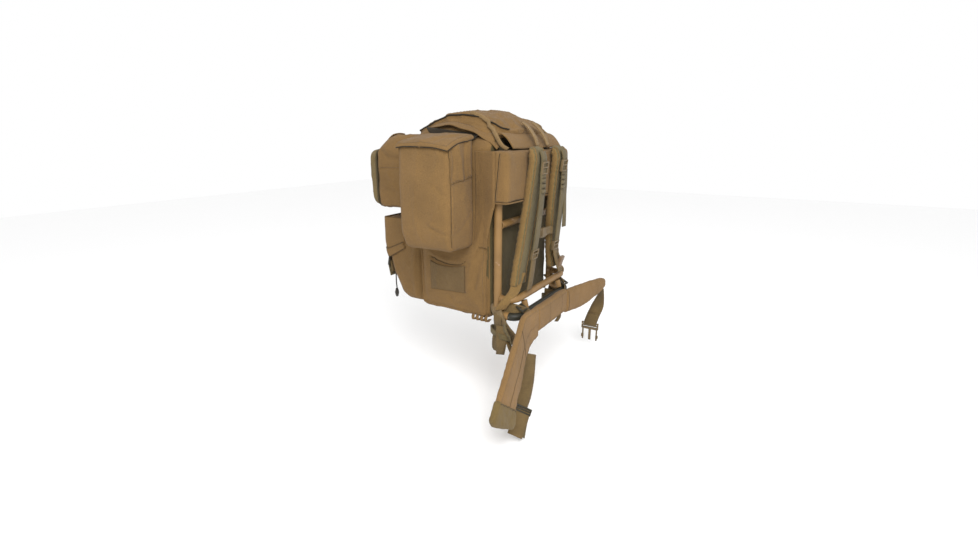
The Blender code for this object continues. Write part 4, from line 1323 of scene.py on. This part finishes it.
a, b = (Vector(p) + Vector((0.003, 0.003, -0.003)) for p in TIP[0])
wavy = [a.lerp(b, k / 40) + Vector((0.0015, 0, -0.003)) * sin(0.9 * k) for k in range(41)]
# A dark line painted as the shade in the tip sleeve's wavy seam.
line("tip_seam_shade", [laid(surface, wavy, 0.0002)], 0.0010, SEAM_SHADE, "wing_right", "tan_cloth", detail=1)
c, d = (Vector(p) + Vector((0.002, 0.003, 0.008)) for p in TIP[4])
stitching("tip_stitches", surface, [
    [p + Vector((0.003, 0, -0.006)) for p in wavy], [p + Vector((0.005, 0, -0.010)) for p in wavy],
    [c.lerp(d, k / 20) for k in range(21)],
], "wing_right", "tan_cloth")

surface = stuffed("wing_left_cloth", [(Vector(a), Vector(b)) for a, b in LEFT_WING], 0.0180, BELT,
                  "wing_left", "tan_cloth", "belt_wing_left", cell=0.005, puff=0.35, pucker=0.10, seed=74)
a, b = (Vector(p) + Vector((-0.010, 0.006, 0)) for p in LEFT_WING[0])
rows = [[a.lerp(b, k / 12) for k in range(13)]]
# A dark line painted as the shade in the seam across the wing's root.
line("wing_left_seam_shade", [laid(surface, rows[0], 0.0001)], 0.0010, SEAM_SHADE, "wing_left", "tan_cloth", detail=1)
for share in (0.07, 0.93):
    rows.append(curved([Vector(a).lerp(Vector(b), share) + Vector((0, 0.004, 0)) for a, b in LEFT_WING]))
stitching("wing_left_stitches", surface, rows, "wing_left", "tan_cloth")

# Belt webbing: the right wing's loop, doubled back through a slide, and the left wing's free end and buckle.
loop = curved([
    (0.1690, 0.0960, -0.0780), (0.1700, 0.0958, -0.0880), (0.1730, 0.0960, -0.1200),
    (0.1790, 0.0960, -0.1550), (0.1980, 0.0975, -0.1900), (0.2270, 0.0990, -0.2125),
])
tape("belt_loop_tape", loop, lambda t: Vector((0.030, -0.034, 0.012 + 0.013 * t * t)), WEBBING, "wing_right",
     "webbing", "belt_webbing_right", thick=0.0028)
fold = curved([
    (0.230, 0.112, -0.209), (0.246, 0.116, -0.221), (0.262, 0.119, -0.234), (0.278, 0.121, -0.248),
    (0.290, 0.122, -0.258),
])
tape("belt_fold_tape", fold, lambda t: Vector((0.018, -0.042 + 0.010 * t, 0.018)), WEBBING, "wing_right",
     "webbing", thick=0.0028)
tape("belt_fold_under", curved([
    (0.236, 0.121, -0.222), (0.250, 0.124, -0.240), (0.264, 0.127, -0.258), (0.272, 0.129, -0.268),
]), Vector((0.010, -0.022, 0.008)), OLIVE_WEBBING, "wing_right", "webbing", thick=0.0028)
shape = bmesh.new()
for x in (-1, 0, 1):
    add_box(shape, (x * 0.007, 0, 0), (0.0045, 0.0060, 0.052))
for z in (-1, 1):
    add_box(shape, (0, 0, z * 0.0255), (0.019, 0.0055, 0.0040))
eased(shape)
along = Vector((0.38, -0.82, 0.40)).normalized()
out = Vector((0.80, 0.04, -0.60)).cross(along).normalized()
turn = Matrix((out.cross(along), out, along)).transposed()
bmesh.ops.rotate(shape, matrix=turn, verts=shape.verts)
bmesh.ops.translate(shape, vec=(0.234, 0.113, -0.211), verts=shape.verts)
from_shape("belt_slide", shape, DARK_PLASTIC, "wing_right", "plastic", "belt_buckle_right")

HANG = Vector((-0.372, 0.118, -0.034))
free = curved([
    HANG + Vector(p) for p in (
        (0.0010, 0.004, 0.000), (0.0015, 0.002, -0.014), (0.0015, -0.003, -0.040), (0.0015, -0.012, -0.075),
        (0.0015, -0.024, -0.108), (0.0015, -0.033, -0.138), (0.0015, -0.034, -0.146),
    )
])


def free_width(t):
    """The free webbing's width, which turns from the wing's face to hang square to it."""
    turned = radians(58) * (1 - min(1, t * 1.5)) ** 1.5
    wide = 0.030 + 0.018 * min(1, t * 2.2)
    return Vector((sin(turned), cos(turned), 0.25 * sin(turned))) * wide


holder = tape("belt_free_tape", free, free_width, WEBBING, None, "webbing", "belt_webbing_left", thick=0.0028)
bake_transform(holder)
tape("belt_free_double", [p + Vector((0.0030, 0, 0)) for p in free[30:]], Vector((0, 0.046, 0)), WEBBING,
     "belt_free_end", "webbing")
shape = bmesh.new()
for z, tall, thick in ((-0.1755, 0.0045, 0.0075), (-0.1845, 0.0040, 0.0090), (-0.1945, 0.0070, 0.0105)):
    add_box(shape, (-0.372, 0.084, z), (thick, 0.056, tall))
for y in (-1, 1):
    add_box(shape, (-0.372, 0.084 + y * 0.0295, -0.1850), (0.0080, 0.0045, 0.0250))
    add_box(shape, (-0.372, 0.084 + y * 0.0262, -0.2110), (0.0060, 0.0050, 0.0290))
    add_box(shape, (-0.372, 0.084 + y * 0.0275, -0.2270), (0.0065, 0.0085, 0.0120))
    add_box(shape, (-0.372, 0.084 + y * 0.0262, -0.2360), (0.0060, 0.0050, 0.0090))
add_box(shape, (-0.372, 0.084, -0.2190), (0.0060, 0.0085, 0.0430))
from_shape("belt_clip", eased(shape, 0.0010), PLASTIC, "belt_free_end", "plastic", "belt_buckle_left")

# Strap bundles: spare webbing folded back and forth and tied up below each foot of the frame.
for side, sign in SIDES:
    x = sign * 0.168
    folds = curved([
        (x - 0.004, 0.004, -0.001), (x - 0.007, 0.000, -0.030), (x - 0.006, -0.006, -0.062),
        (x - 0.002, -0.004, -0.088), (x + 0.006, 0.006, -0.090), (x + 0.008, 0.012, -0.060),
        (x + 0.006, 0.014, -0.030), (x + 0.010, 0.018, -0.012), (x + 0.015, 0.020, -0.022),
        (x + 0.016, 0.020, -0.050), (x + 0.010, 0.016, -0.078), (x + 0.004, 0.010, -0.100),
    ], 6)
    tape(f"bundle_fold_{side}", folds, lambda t: Vector((
        0.010 * sin(6 * t), 0.036 * cos(0.8 * t), 0.006 * sin(9 * t),
    )), WEBBING, "bag_and_frame", "webbing", f"strap_bundle_{side}", thick=0.003)
    twist = curved(on_side(sign, (
        (0.170, 0.020, -0.003), (0.184, 0.030, -0.018), (0.178, 0.042, -0.042), (0.162, 0.036, -0.066),
        (0.156, 0.020, -0.050), (0.154, 0.004, -0.026),
    )), 6)
    tape(f"bundle_twist_{side}", twist, lambda t: Vector((0.016 * sin(4 * t), 0.014, 0.022 * cos(3 * t))),
         OLIVE_WEBBING, "bag_and_frame", "webbing", thick=0.003)
    tie = [Vector((x + 0.019 * cos(a), 0.010 + 0.031 * sin(a), -0.036 - 0.010 * sin(a)))
           for a in (2 * pi * k / 36 for k in range(37))]
    tape(f"bundle_tie_{side}", tie, Vector((0, 0, 0.016)), OLIVE_WEBBING, "bag_and_frame", "webbing")
    tail = curved(on_side(sign, (
        (0.168, 0.026, -0.040), (0.172, 0.040, -0.070), (0.166, 0.044, -0.090), (0.158, 0.038, -0.106),
    )))
    tape(f"bundle_tail_{side}", tail, lambda t: Vector((0.014, -0.006, 0.004)), WEBBING, "bag_and_frame",
         "webbing")
    foot = curved(on_side(sign, (
        (0.152, 0.018, 0.033), (0.164, 0.014, 0.034), (0.181, 0.010, 0.024), (0.184, 0.008, 0.008),
        (0.178, 0.006, -0.010), (0.170, 0.004, -0.030),
    )))
    tape(f"foot_wrap_{side}", foot, Vector((0, 0.024, -0.006)), WEBBING, "bag_and_frame", "webbing",
         thick=0.0028)
    cover = curved(on_side(sign, (
        (0.164, 0.004, 0.040), (0.166, 0.026, 0.037), (0.158, 0.050, 0.036), (0.140, 0.070, 0.030),
        (0.122, 0.080, 0.014), (0.118, 0.080, -0.010),
    )), 6)
    tape(f"foot_cover_{side}", cover, lambda t: Vector((
        sign * 0.004, 0.004, -0.030 - 0.006 * sin(7 * t),
    )), WEBBING, "bag_and_frame", "webbing", thick=0.0028, rows=6)
    lock(f"foot_slide_{side}", (x - sign * 0.024, 0.062, 0.040), (0.030, 0.026, 0.006),
         Matrix.Rotation(radians(62), 3, "X"), "bag_and_frame", finish=DARK_PLASTIC)
    over = curved(on_side(sign, (
        (0.172, -0.006, 0.050), (0.182, 0.002, 0.036), (0.181, 0.014, 0.010), (0.174, 0.026, -0.014),
        (0.164, 0.044, -0.040), (0.156, 0.050, -0.066),
    )), 6)
    tape(f"foot_over_{side}", over, lambda t: Vector((0.006, 0.034 - 0.012 * t, 0.012)), PALE_WEBBING,
         "bag_and_frame", "webbing", thick=0.0028)
